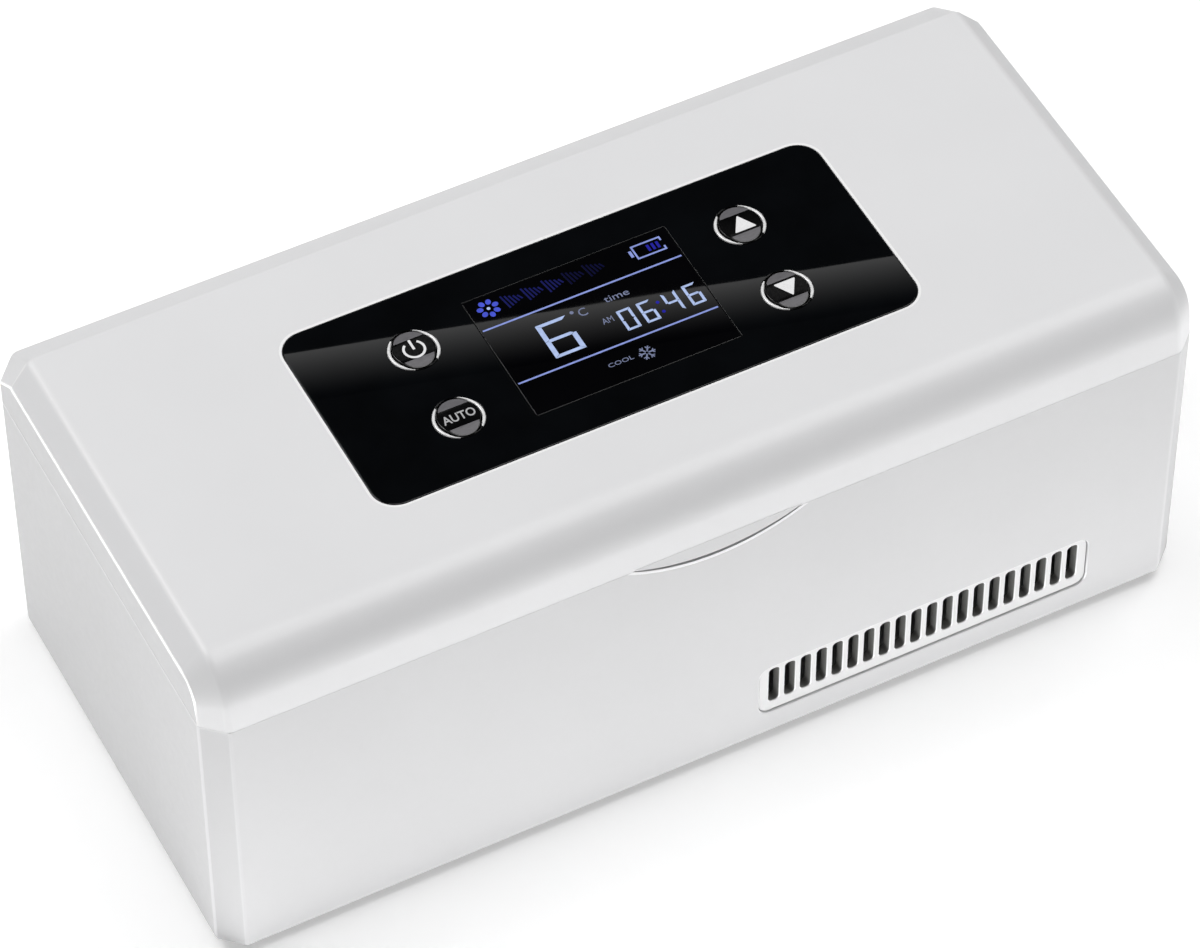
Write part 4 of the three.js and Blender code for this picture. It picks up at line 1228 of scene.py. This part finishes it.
def readout_arrows():
    """A row of hatched arrow heads beside the fan, fainter further on."""
    first, head_pitch, hatch_pitch, hatches = -14.2, 4.4, 0.78, 5
    half_height, lean, stroke = 1.75, 0.3, 0.36
    rows = (("readout_arrows", "dim", range(3)), ("readout_faint_arrows", "faint", range(3, 5)))
    for name, shade_name, heads in rows:
        marks = Readout()
        for head in heads:
            for hatch in range(hatches):
                x = first + head_pitch * head + hatch_pitch * hatch
                half = half_height * (1 - hatch / (hatches + 1))
                marks.bar((x - lean, FAN_SPOT.y + half), (x + lean, FAN_SPOT.y - half), stroke)
        marks.finish(name, shade_name)


READOUT_STEPS = (readout_figures, readout_rules, readout_fan, readout_bars, readout_words, readout_arrows)


class CASE_OT_readout(bpy.types.Operator):
    """Draw the lit digits, words and icons of the display"""

    bl_idname = "cooling_case.readout"
    bl_label = "Readout"

    def execute(self, context):
        for draw_marks in READOUT_STEPS:
            draw_marks()
        return {"FINISHED"}


# Keys
def swell(turn):
    """How far a key's outline bulges at an angle: not beside the band, fully at the middle of a flat."""
    sizes = settings().panel
    band = sizes.flat_start / sizes.cap
    return sizes.flat_reach * max(abs(math.sin(turn)) - band, 0) / (1 - band)


def key_cap_mesh(key):
    """A cap with two sloped flats that reach over its ring, on the flange that holds it under the panel."""
    sizes = settings().panel
    low, high, middle = node_box(f"{key}_button")
    x, y, cap = middle.x, middle.y, sizes.cap
    bevel = 0.3 * FINE_EDGE
    chord = math.asin(sizes.flat_start / cap)
    steps = 12
    starts = (-chord, chord, math.pi - chord, math.pi + chord, 2 * math.pi - chord)
    turns = []
    for start, end in zip(starts, starts[1:]):
        turns += [start + (end - start) * step / steps for step in range(steps)]

    def ring_at(radius, sink, shaped):
        points = []
        for turn in turns:
            reach = radius + (swell(turn) if shaped else 0)
            across, along = reach * math.cos(turn), reach * math.sin(turn)
            drop = max(abs(along) - sizes.flat_start, 0) * math.tan(sizes.flat_slope) if shaped else 0
            points.append((x + across, y + along, high.z - sink - drop))
        return points

    tall = high.z - low.z
    outlines = [
        ring_at(sizes.flange, tall, False),
        ring_at(sizes.flange, tall - sizes.flange_thick, False),
        ring_at(cap, tall - sizes.flange_thick, False),
        ring_at(cap, FINE_EDGE, True),
        ring_at(cap - bevel, bevel, True),
        ring_at(cap - FINE_EDGE, 0, True),
    ]
    bm = bmesh.new()
    rings = [[bm.verts.new(point) for point in outline] for outline in outlines]
    skin(bm, rings)
    bm.faces.new(rings[0])
    rim = rings[-1]
    flats = [rim[steps:2 * steps + 1], rim[3 * steps:] + [rim[0]]]
    bm.faces.new(rim[:steps + 1] + rim[2 * steps:3 * steps + 1])
    # The sloped flats take the grey finish, a painted reflection
    for flat in flats:
        bm.faces.new(flat).material_index = 1
    return bm


def power_mark(bm, x, y, low, high):
    """A broken ring with a bar through the break."""
    radius, stroke, steps = 2.05 * MM, 0.5 * MM, 28
    gap, drop = math.radians(38), 0.2 * MM
    bar_height, bar_rise, bar_corner = 2.6 * MM, 1.05 * MM, 0.1 * MM
    loop = []
    for reach, order in ((radius + stroke / 2, 1), (radius - stroke / 2, -1)):
        for step in range(steps + 1)[::order]:
            turn = math.pi / 2 + gap + (2 * math.pi - 2 * gap) * step / steps
            loop.append((x + reach * math.cos(turn), y - drop + reach * math.sin(turn)))
    slab(bm, loop, low, high)
    slab(bm, rectangle(x, y + bar_rise, stroke, bar_height, bar_corner)(), low, high)


def arrow_mark(bm, x, y, low, high, sense):
    """A triangle that points up or down."""
    base, apex, half, corner, aside = 1.95 * MM, 2.05 * MM, 2.35 * MM, 0.15 * MM, 0.3 * MM
    middle, foot = x + aside, y - sense * base
    corners = [(middle - half, foot), (middle + half, foot), (middle, y + sense * apex)]
    slab(bm, rounded_loop(corners, [corner] * 3, steps=3), low, high)


def key_mark_mesh(key):
    _, top, middle = node_box(f"{key}_button")
    x, y, low, high = middle.x, middle.y, top.z - BITE, top.z + INK
    word_half, word_rise, weight = 3.4 * MM, 1.05 * MM, 0.015
    bm = bmesh.new()
    if key == "power":
        power_mark(bm, x, y, low, high)
    elif key == "auto":
        span = (x - word_half, x + word_half, y - word_rise, y + word_rise)
        add_word(bm, "AUTO", *span, low, high, weight)
    else:
        arrow_mark(bm, x, y, low, high, 1 if key == "up" else -1)
    return bm


def key_ring_mesh(key):
    """A bright ring, full at its two sides and drawn out thin past the key's flats, white in two arcs and black
    elsewhere as a painted reflection.
    """
    sizes = settings().panel
    low, high, middle = node_box(f"{key}_ring")
    x, y, inner, outer = middle.x, middle.y, sizes.ring_inner, sizes.ring_outer
    corners = [(inner, low.z), (outer, low.z), (outer, high.z), (inner, high.z)]
    round_foot, round_top = 0.05 * MM, (outer - inner) * 0.45
    section = rounded_loop(corners, [round_foot, round_foot, round_top, round_top], steps=5)
    steps = 96

    def loop_at(radius):
        points = []
        for step in range(steps):
            turn = 2 * math.pi * step / steps
            reach = radius + swell(turn) * (outer - radius) / (outer - inner)
            points.append((x + reach * math.cos(turn), y + reach * math.sin(turn)))
        return points

    bm = stacked(loop_at, "z", section, closed=True)
    # Painted reflection: faces outside the two bright arcs take the caps' black
    for face in bm.faces:
        spot = face.calc_center_median()
        turn = math.atan2(spot.y - y, spot.x - x) - sizes.ring_turn
        face.material_index = 1 if abs(math.sin(turn)) > math.sin(sizes.ring_arc) else 0
    return bm


class CASE_OT_keys(bpy.types.Operator):
    """Model the four keys with their printed marks and bright rings"""

    bl_idname = "cooling_case.keys"
    bl_label = "Keys"

    def execute(self, context):
        for key in KEYS:
            body = f"{key}_key"
            caps, trim = ("key_black", "key_flat"), ("chrome", "key_black")
            ink = ["grey_print" if key == "auto" else "key_print"]
            finish_piece(f"{key}_cap", key_cap_mesh(key), body, "black_plastic", [f"{key}_button"], caps)
            finish_piece(f"{key}_mark", key_mark_mesh(key), body, "white_plastic", finishes=ink)
            finish_piece(f"{key}_trim", key_ring_mesh(key), "lid", "chrome", [f"{key}_ring"], trim)
        return {"FINISHED"}


# Vents
def grille_mesh(wall, inward):
    """A slotted plate let into a wall, given by its outside. Inward is 1 at the front and -1 behind."""
    sizes = settings().vent
    x, z = VENT_MIDDLE.x, VENT_MIDDLE.z
    outer, inner = wall + inward * sizes.sunk, wall + inward * (sizes.sunk + sizes.thick)
    edges = (sizes.slot_edge, 0) if inward > 0 else (0, sizes.slot_edge)
    start, end = sorted((outer, inner))
    plate = rectangle(x, z, sizes.width, sizes.height, sizes.corner, steps=8)
    bm = solid(plate, "y", start, end, *edges)
    slots = bmesh.new()
    start, end = sorted((outer, inner + PAST * inward))
    width, height, corner = sizes.slot_width, sizes.slot_height, sizes.slot_width * 0.4
    for index in range(sizes.slots):
        aside = (index - (sizes.slots - 1) / 2) * sizes.slot_pitch
        slot = rectangle(x + aside, z + sizes.slot_rise, width, height, corner)
        prism(slots, slot, "y", start, end, -edges[0], -edges[1])
    bm = carve(bm, slots)
    # Painted shade: slot walls deeper than the slots' rounded edges take the slot grey
    inside = 0.9 * sizes.slot_edge
    for face in bm.faces:
        depth = min((vertex.co.y - outer) * inward for vertex in face.verts)
        face.material_index = 1 if depth > inside else 0
    return bm


class CASE_OT_vents(bpy.types.Operator):
    """Model the slotted grilles of the front and rear walls"""

    bl_idname = "cooling_case.vents"
    bl_label = "Vents"

    def execute(self, context):
        white = ("vent_white", "slot_painted_shade")
        for side, wall, inward in (("front", FRONT, 1), ("rear", BACK, -1)):
            plate = grille_mesh(wall, inward)
            finish_piece(f"{side}_grille", plate, "case", "pearl_white", [f"{side}_vent_grille"], white)
        return {"FINISHED"}


# Base, hinge pins and inlet
CORNER_COUNT = 4


def screw_holes(node_name, low):
    """Countersunk holes for the screws of one cover."""
    radius, deep = 2.8 * MM, 1.4 * MM
    bm = bmesh.new()
    for index in range(1, CORNER_COUNT + 1):
        place = node_middle(f"{node_name}_{index}")
        prism(bm, disc(place.x, place.y, radius), "z", low, low + deep, -FINE_EDGE, 0)
    return bm


def base_cover_mesh():
    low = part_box("bottom_cover")[0]
    top = low.z + 2 * MM
    bm = solid(inset_plan(low.x + HALF), "z", low.z, top, SOFT_EDGE, SMALL_EDGE)
    bm = carve(bm, screw_holes("bottom_screw", low.z))
    slots = bmesh.new()
    fan = node_middle("fan_rotor")
    count, pitch, width, reach = 7, 4.4 * MM, 2.4 * MM, 17 * MM
    slot_end = 0.499 * width
    for index in range(count):
        aside = (index - (count - 1) / 2) * pitch
        long = 2 * math.sqrt(reach**2 - aside**2)
        slot = rectangle(fan.x + aside, fan.y, width, long, slot_end)
        prism(slots, slot, "z", low.z, top + PAST, -SMALL_EDGE, 0)
    return carve(bm, slots)


def foot_mesh(node):
    """A rubber foot with a rounded tread and a ring groove."""
    low, high, middle = node_box(node)
    radius = (high.x - low.x) / 2
    groove, deep, floor_half, mouth_half = -0.45 * radius, 0.4 * MM, 0.6 * MM, 0.9 * MM
    edge = 0.6 * MM
    bevel = 0.3 * edge
    levels = [(groove - mouth_half, low.z), (groove - floor_half, low.z + deep)]
    levels += [(groove + floor_half, low.z + deep), (groove + mouth_half, low.z)]
    levels += [(-edge, low.z), (-bevel, low.z + bevel), (0, low.z + edge), (0, high.z)]
    return stacked(disc(middle.x, middle.y, radius), "z", levels)


def screw_mesh(node):
    """A pan head with a cross recess and its shank."""
    low, high, middle = node_box(node)
    head = (high.x - low.x) / 2
    shank, tip, tall = 1.3 * MM, 0.2 * MM, 0.9 * MM
    levels = [(-0.5 * head, low.z)]
    levels += [(-0.2 * head, low.z + 0.1 * tall), (0, low.z + 0.55 * tall), (0, low.z + tall)]
    levels += [(shank - head, low.z + tall), (shank - head, high.z - shank), (tip - head, high.z)]
    bm = stacked(disc(middle.x, middle.y, head, steps=32), "z", levels)
    recess, width, deep, corner = 2.6 * MM, 0.7 * MM, 0.5 * MM, 0.1 * MM
    for across, along in ((recess, width), (width, recess)):
        slot = rectangle(middle.x, middle.y, across, along, corner, steps=2)
        bm = carve(bm, solid(slot, "z", low.z - PAST, low.z + deep))
    return bm


def add_screws(node_name, body):
    for index in range(1, CORNER_COUNT + 1):
        node = f"{node_name}_{index}"
        finish_piece(f"{node}_head", screw_mesh(node), body, "steel", [node])


class CASE_OT_base(bpy.types.Operator):
    """Model the base cover with its intake slots, its screws and the rubber feet"""

    bl_idname = "cooling_case.base"
    bl_label = "Base Cover and Feet"

    def execute(self, context):
        finish_piece("base_plate", base_cover_mesh(), "case", "white_plastic", ["bottom_cover"])
        add_screws("bottom_screw", "case")
        for index in range(1, CORNER_COUNT + 1):
            node = f"foot_{index}"
            finish_piece(f"{node}_pad", foot_mesh(node), "case", "rubber", [node])
        return {"FINISHED"}


def hinge_pin_mesh(node):
    low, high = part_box(node)
    pin = disc(BACK, SEAM, settings().hinge.pin, steps=24)
    return solid(pin, "x", low.x, high.x, SMALL_EDGE, SMALL_EDGE)


def inlet_mesh():
    """The round power inlet with its centre contact."""
    low, high, middle = node_box("dc_jack")
    nose, bore, pin, corner = 4.2 * MM, 3.1 * MM, 1.0 * MM, 0.8 * MM
    tip = high.y
    inside, floor, root, pin_tip = tip - 2.4 * MM, tip - 9 * MM, tip - 9.5 * MM, tip - 2 * MM
    body = rectangle(INLET_X, middle.z, high.x - low.x, high.z - low.z, corner)
    bm = solid(body, "y", low.y, inside, SMALL_EDGE, SMALL_EDGE)
    barrel = solid(disc(INLET_X, INLET_Z, nose), "y", inside - PAST, tip, 0, SMALL_EDGE)
    bm = carve(bm, barrel, "UNION")
    bm = carve(bm, solid(disc(INLET_X, INLET_Z, bore), "y", floor, tip, 0, -SMALL_EDGE))
    contact = solid(disc(INLET_X, INLET_Z, pin, steps=24), "y", root, pin_tip, 0, SOFT_EDGE)
    return carve(bm, contact, "UNION")


class CASE_OT_rear(bpy.types.Operator):
    """Model the hinge pins and the power inlet of the rear wall"""

    bl_idname = "cooling_case.rear"
    bl_label = "Hinge Pins and Inlet"

    def execute(self, context):
        for side in ("left", "right"):
            node = f"hinge_pin_{side}"
            finish_piece(f"{node}_rod", hinge_pin_mesh(node), "case", "steel", [node])
        finish_piece("power_inlet", inlet_mesh(), "case", "black_plastic", ["dc_jack"])
        return {"FINISHED"}


# Cold chamber
def chamber_outline():
    """The chamber's mouth from above, as a function of how far it is grown."""
    low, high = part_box("chamber_gasket")
    margin, corner = 5.2 * MM, 6 * MM
    width, depth = high.x - low.x - 2 * margin, high.y - low.y - 2 * margin
    return rectangle(0, MIDDLE_Y, width, depth, corner, steps=10)


def liner_mesh():
    """A drawn metal tub with a rounded floor and a flange."""
    low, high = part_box("chamber_liner")
    wall, flange, floor_round, mouth_round = 1.2 * MM, 4 * MM, 4.5 * MM, 0.8 * MM
    under, reach, bottom = high.z - wall, wall + flange, low.z + wall
    outside = [(-floor_round, low.z), (wall, low.z), (wall, under), (reach, under)]
    inside = [(reach, high.z), (0, high.z), (0, bottom), (-floor_round - 2 * wall, bottom)]
    radii = [floor_round, SMALL_EDGE, SMALL_EDGE, SMALL_EDGE, mouth_round, floor_round]
    return stacked(chamber_outline(), "z", rounded_path(outside + inside, radii, steps=5))


def deck_mesh():
    low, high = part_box("top_deck")
    mouth_edge = 0.5 * MM
    bm = solid(inset_plan(low.x + HALF), "z", low.z, high.z, 0, SOFT_EDGE)
    bm = carve(bm, solid(chamber_outline(), "z", low.z - PAST, high.z, 0, -mouth_edge))
    inner, outer, floor, above = 2.5 * MM, 5.5 * MM, high.z - 0.8 * MM, high.z + PAST
    section = [(inner, floor), (outer, floor), (outer, above), (inner, above)]
    return carve(bm, stacked(chamber_outline(), "z", section, closed=True))


def gasket_mesh():
    """A soft bead with a domed top."""
    low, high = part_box("chamber_gasket")
    inner, outer, dome = 2.8 * MM, 5.2 * MM, 1.1 * MM
    corners = [(inner, low.z), (outer, low.z), (outer, high.z), (inner, high.z)]
    section = rounded_loop(corners, [FINE_EDGE, FINE_EDGE, dome, dome])
    return stacked(chamber_outline(), "z", section, closed=True)


def inner_cover_mesh():
    """The lid's lining with the plug that reaches into the chamber."""
    low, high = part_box("lid_inner_cover")
    plate = high.z - 2 * MM
    bm = solid(inset_plan(low.x + HALF), "z", plate, high.z, SOFT_EDGE, FINE_EDGE)
    width, depth, corner, edge, overlap = 172 * MM, 52 * MM, 4 * MM, 2.5 * MM, 0.5 * MM
    outline = rectangle(0, MIDDLE_Y, width, depth, corner, steps=8)
    bm = carve(bm, solid(outline, "z", low.z, plate + overlap, edge, 0), "UNION")
    return carve(bm, screw_holes("lid_screw", plate))


class CASE_OT_chamber(bpy.types.Operator):
    """Model the cold chamber's tub, deck and seal and the lid's inner cover"""

    bl_idname = "cooling_case.chamber"
    bl_label = "Cold Chamber"

    def execute(self, context):
        finish_piece("chamber_tub", liner_mesh(), "case", "aluminium", ["chamber_liner"])
        finish_piece("chamber_deck", deck_mesh(), "case", "white_plastic", ["top_deck"])
        finish_piece("chamber_seal", gasket_mesh(), "case", "rubber", ["chamber_gasket"])
        finish_piece("lid_lining", inner_cover_mesh(), "lid", "white_plastic", ["lid_inner_cover"])
        add_screws("lid_screw", "lid")
        return {"FINISHED"}


class CASE_OT_inside(bpy.types.Operator):
    """Give the working parts inside the case their finishes"""

    bl_idname = "cooling_case.inside"
    bl_label = "Working Parts"

    def execute(self, context):
        slots = {entry["node"]: entry["material_slot"] for entry in frame["record"]["subparts"]}
        slots["heat_sink"] = "black_metal"
        for name, node in frame["nodes"].items():
            if not node.hide_render:
                node.material_slots[0].material = finish_of(slots[name])
        return {"FINISHED"}


# Stage
def view_direction(azimuth, elevation):
    """From the case towards a point at an azimuth, counted from the front, and an elevation."""
    level = math.cos(elevation)
    return Vector((-level * math.sin(azimuth), -level * math.cos(azimuth), math.sin(elevation)))


def add_camera():
    stage = settings().stage
    camera = bpy.data.cameras.new("photo_camera")
    camera.lens = stage.lens
    camera.sensor_width = 36
    holder = link("photo_camera", camera)
    toward = view_direction(stage.azimuth, stage.elevation)
    holder.location = Vector(stage.aim) + toward * stage.distance
    holder.rotation_mode = "QUATERNION"
    holder.rotation_quaternion = toward.to_track_quat("Z", "Y") @ Quaternion((0, 0, 1), stage.roll)
    bpy.context.scene.camera = holder


def area_light(name, watts, width, height):
    light = bpy.data.lights.new(name, "AREA")
    light.shape = "RECTANGLE"
    light.size = width
    light.size_y = height
    light.energy = watts
    holder = link(name, light)
    holder.rotation_mode = "QUATERNION"
    holder.visible_camera = False
    return holder


def add_softbox(name, watts, azimuth, elevation, width, height):
    """A soft light that faces the case."""
    distance = 1.8
    holder = area_light(name, watts, width, height)
    toward = view_direction(math.radians(azimuth), math.radians(elevation))
    holder.location = Vector((0, 0, LID_TOP / 2)) + toward * distance
    holder.rotation_quaternion = toward.to_track_quat("Z", "Y")


def add_table_light(name, watts, x, y, width, depth):
    """A light panel that lies on the table and shines up."""
    above_table = 2 * MM
    holder = area_light(name, watts, width, depth)
    holder.location = (x, y, above_table)
    holder.rotation_quaternion = Quaternion((1, 0, 0), math.pi)


def stage_card(name, bm, finish):
    """A card of the stage that is seen in gloss alone."""
    mesh = bpy.data.meshes.new(name)
    bm.to_mesh(mesh)
    bm.free()
    mesh.materials.append(finish)
    card = link(name, mesh)
    for sight in ("camera", "diffuse", "shadow", "transmission"):
        setattr(card, f"visible_{sight}", False)


def card_finish():
    """White light that falls off steeply from the card's bright edge."""
    finish = Finish("card_glow", Base_Color=(0, 0, 0, 1), Specular_IOR_Level=0.0, Emission_Color=(1, 1, 1, 1))
    glow = finish.add("ShaderNodeAttribute", attribute_name="glow").outputs["Fac"]
    steep = finish.add("ShaderNodeMath", {0: glow, 1: glow}, operation="MULTIPLY")
    finish.drive("Emission Strength", finish.span(steep.outputs[0], 0, settings().stage.card, 0, 1))
    return finish.material


def add_card():
    """A card that the gloss panel mirrors towards the camera: bright at one edge, fading to the other."""
    eye = bpy.context.scene.camera.location
    away = 1.4
    # Where the bright edge crosses the panel's ends, how far it runs past them, and where the card ends
    left_drop, right_rise = 3.7 * MM, 12.5 * MM
    before, after = -0.1, 1.15
    fade = Vector((-6 * MM, -11.5 * MM, 0))
    start = Vector((PANEL_LOW.x, PANEL_HIGH.y - left_drop, PANEL_HIGH.z))
    end = Vector((PANEL_HIGH.x, PANEL_LOW.y + right_rise, PANEL_HIGH.z))
    bright = [start.lerp(end, before), start.lerp(end, after)]
    corners = bright + [bright[1] + fade, bright[0] + fade]
    bm = bmesh.new()
    glow = bm.verts.layers.float.new("glow")
    for corner in corners:
        ray = (corner - eye).normalized()
        vertex = bm.verts.new(corner + Vector((ray.x, ray.y, -ray.z)) * away)
        vertex[glow] = 1 if corner in bright else 0
    bm.faces.new(bm.verts)
    bmesh.ops.subdivide_edges(bm, edges=bm.edges, cuts=7, use_grid_fill=True)
    stage_card("mirror_card", bm, card_finish())


def add_flag(name, start, end):
    """A dark card that stands on the table and draws the edges it is mirrored in."""
    low, high = 5 * MM, 120 * MM
    bm = bmesh.new()
    corners = [(*start, low), (*end, low), (*end, high), (*start, high)]
    bm.faces.new([bm.verts.new(corner) for corner in corners])
    stage_card(name, bm, finish_of("black_plastic"))


def seen_directly(nodes, links):
    """One for rays from the camera, a mirror or through glass, zero for the light between things."""
    path = nodes.new("ShaderNodeLightPath")
    seen = path.outputs["Is Camera Ray"]
    for kind in ("Is Glossy Ray", "Is Transmission Ray"):
        either = nodes.new("ShaderNodeMath")
        either.operation = "MAXIMUM"
        links.new(seen, either.inputs[0])
        links.new(path.outputs[kind], either.inputs[1])
        seen = either.outputs[0]
    return seen


def add_floor():
    reach = 4.0
    bm = bmesh.new()
    bmesh.ops.create_grid(bm, x_segments=8, y_segments=8, size=reach)
    floor = link("floor", to_mesh("floor", bm))
    finish = Finish("floor_white", Roughness=0.9, Emission_Color=(1, 1, 1, 1))
    finish.paint(finish.noise(0.3, detail=2), (0.84, 0.84, 0.84), (0.86, 0.86, 0.86))
    place = finish.add("ShaderNodeTexCoord").outputs["Object"]
    away = finish.add("ShaderNodeVectorMath", {0: place}, operation="LENGTH").outputs["Value"]
    glow = finish.span(away, FLOOR_GLOW, 1, GLOW_NEAR, GLOW_FAR)
    seen = {0: seen_directly(finish.nodes, finish.links), 1: glow}
    finish.drive("Emission Strength", finish.add("ShaderNodeMath", seen, operation="MULTIPLY").outputs[0])
    floor.data.materials.append(finish.material)


def add_world():
    """White behind the case, and in gloss a pale horizon that darkens overhead."""
    world = bpy.data.worlds.new("studio")
    world.use_nodes = True
    nodes, links = world.node_tree.nodes, world.node_tree.links
    background = nodes["Background"]
    place = nodes.new("ShaderNodeTexCoord")
    split = nodes.new("ShaderNodeSeparateXYZ")
    ramp = nodes.new("ShaderNodeValToRGB")
    links.new(place.outputs["Generated"], split.inputs[0])
    sunk = nodes.new("ShaderNodeMath")
    sunk.operation = "SUBTRACT"
    links.new(split.outputs["Z"], sunk.inputs[0])
    links.new(nodes.new("ShaderNodeLightPath").outputs["Is Camera Ray"], sunk.inputs[1])
    links.new(sunk.outputs[0], ramp.inputs[0])
    links.new(ramp.outputs["Color"], background.inputs["Color"])
    links.new(seen_directly(nodes, links), background.inputs["Strength"])
    # Height and brightness of the pale horizon and of the dark above it
    for element, (height, grey) in zip(ramp.color_ramp.elements, ((0.05, 1.0), (0.3, 0.01))):
        element.position = height
        element.color = (grey, grey, grey, 1)
    bpy.context.scene.world = world


class CASE_OT_stage(bpy.types.Operator):
    """Set up the camera, the floor and the soft studio light"""

    bl_idname = "cooling_case.stage"
    bl_label = "Stage"

    def execute(self, context):
        stage = settings().stage
        context.scene.view_settings.view_transform = "Standard"
        add_camera()
        add_floor()
        add_world()
        add_softbox("key_softbox", stage.key, azimuth=135, elevation=52, width=0.8, height=0.8)
        add_softbox("top_softbox", stage.top, azimuth=-90, elevation=74, width=1.0, height=1.6)
        add_softbox("front_softbox", stage.front, azimuth=-45, elevation=10, width=0.8, height=0.5)
        before, behind, left, right = FRONT - 0.2, BACK + 0.2, -HALF - 0.2, HALF + 0.2
        add_table_light("front_table_light", stage.front_table, 0, before, width=0.9, depth=0.4)
        add_table_light("base_strip_light", stage.base_strip, 0, FRONT - 0.03, width=0.26, depth=0.05)
        add_table_light("left_table_light", stage.left_table, left, 0, width=0.4, depth=0.8)
        add_table_light("right_table_light", stage.right_table, right, FRONT + 0.22, width=0.4, depth=0.4)
        add_table_light("back_table_light", stage.back_table, 0, behind, width=2 * HALF, depth=0.4)
        add_card()
        flag_back, flag_right = BACK + 0.15, HALF + 0.15
        add_flag("back_flag", (-HALF - 0.05, flag_back), (HALF + 0.3, flag_back))
        add_flag("right_flag", (flag_right, FRONT - 0.05), (flag_right, flag_back))
        return {"FINISHED"}


STEPS = (
    CASE_OT_stage,
    CASE_OT_housing,
    CASE_OT_lid,
    CASE_OT_panel,
    CASE_OT_readout,
    CASE_OT_keys,
    CASE_OT_vents,
    CASE_OT_base,
    CASE_OT_rear,
    CASE_OT_chamber,
    CASE_OT_inside,
)


class CASE_PT_sidebar(bpy.types.Panel):
    """The steps that make the case, in order"""

    bl_idname = "CASE_PT_sidebar"
    bl_label = "Cooling Case"
    bl_space_type = "VIEW_3D"
    bl_region_type = "UI"
    bl_category = "Cooling Case"

    def draw(self, context):
        for step in STEPS:
            self.layout.operator(step.bl_idname)


GROUPS = (
    CaseShellSizes,
    CaseHingeSizes,
    CasePanelSizes,
    CaseVentSizes,
    CaseColours,
    CaseStageSettings,
    CaseSettings,
)
CLASSES = GROUPS + STEPS + (CASE_PT_sidebar,)


def register():
    for kind in CLASSES:
        bpy.utils.register_class(kind)
    bpy.types.Scene.cooling_case = PointerProperty(type=CaseSettings)


def unregister():
    del bpy.types.Scene.cooling_case
    for kind in reversed(CLASSES):
        bpy.utils.unregister_class(kind)


def main():
    register()
    for step in STEPS:
        family, name = step.bl_idname.split(".")
        getattr(getattr(bpy.ops, family), name)()


if __name__ == "__main__":
    main()
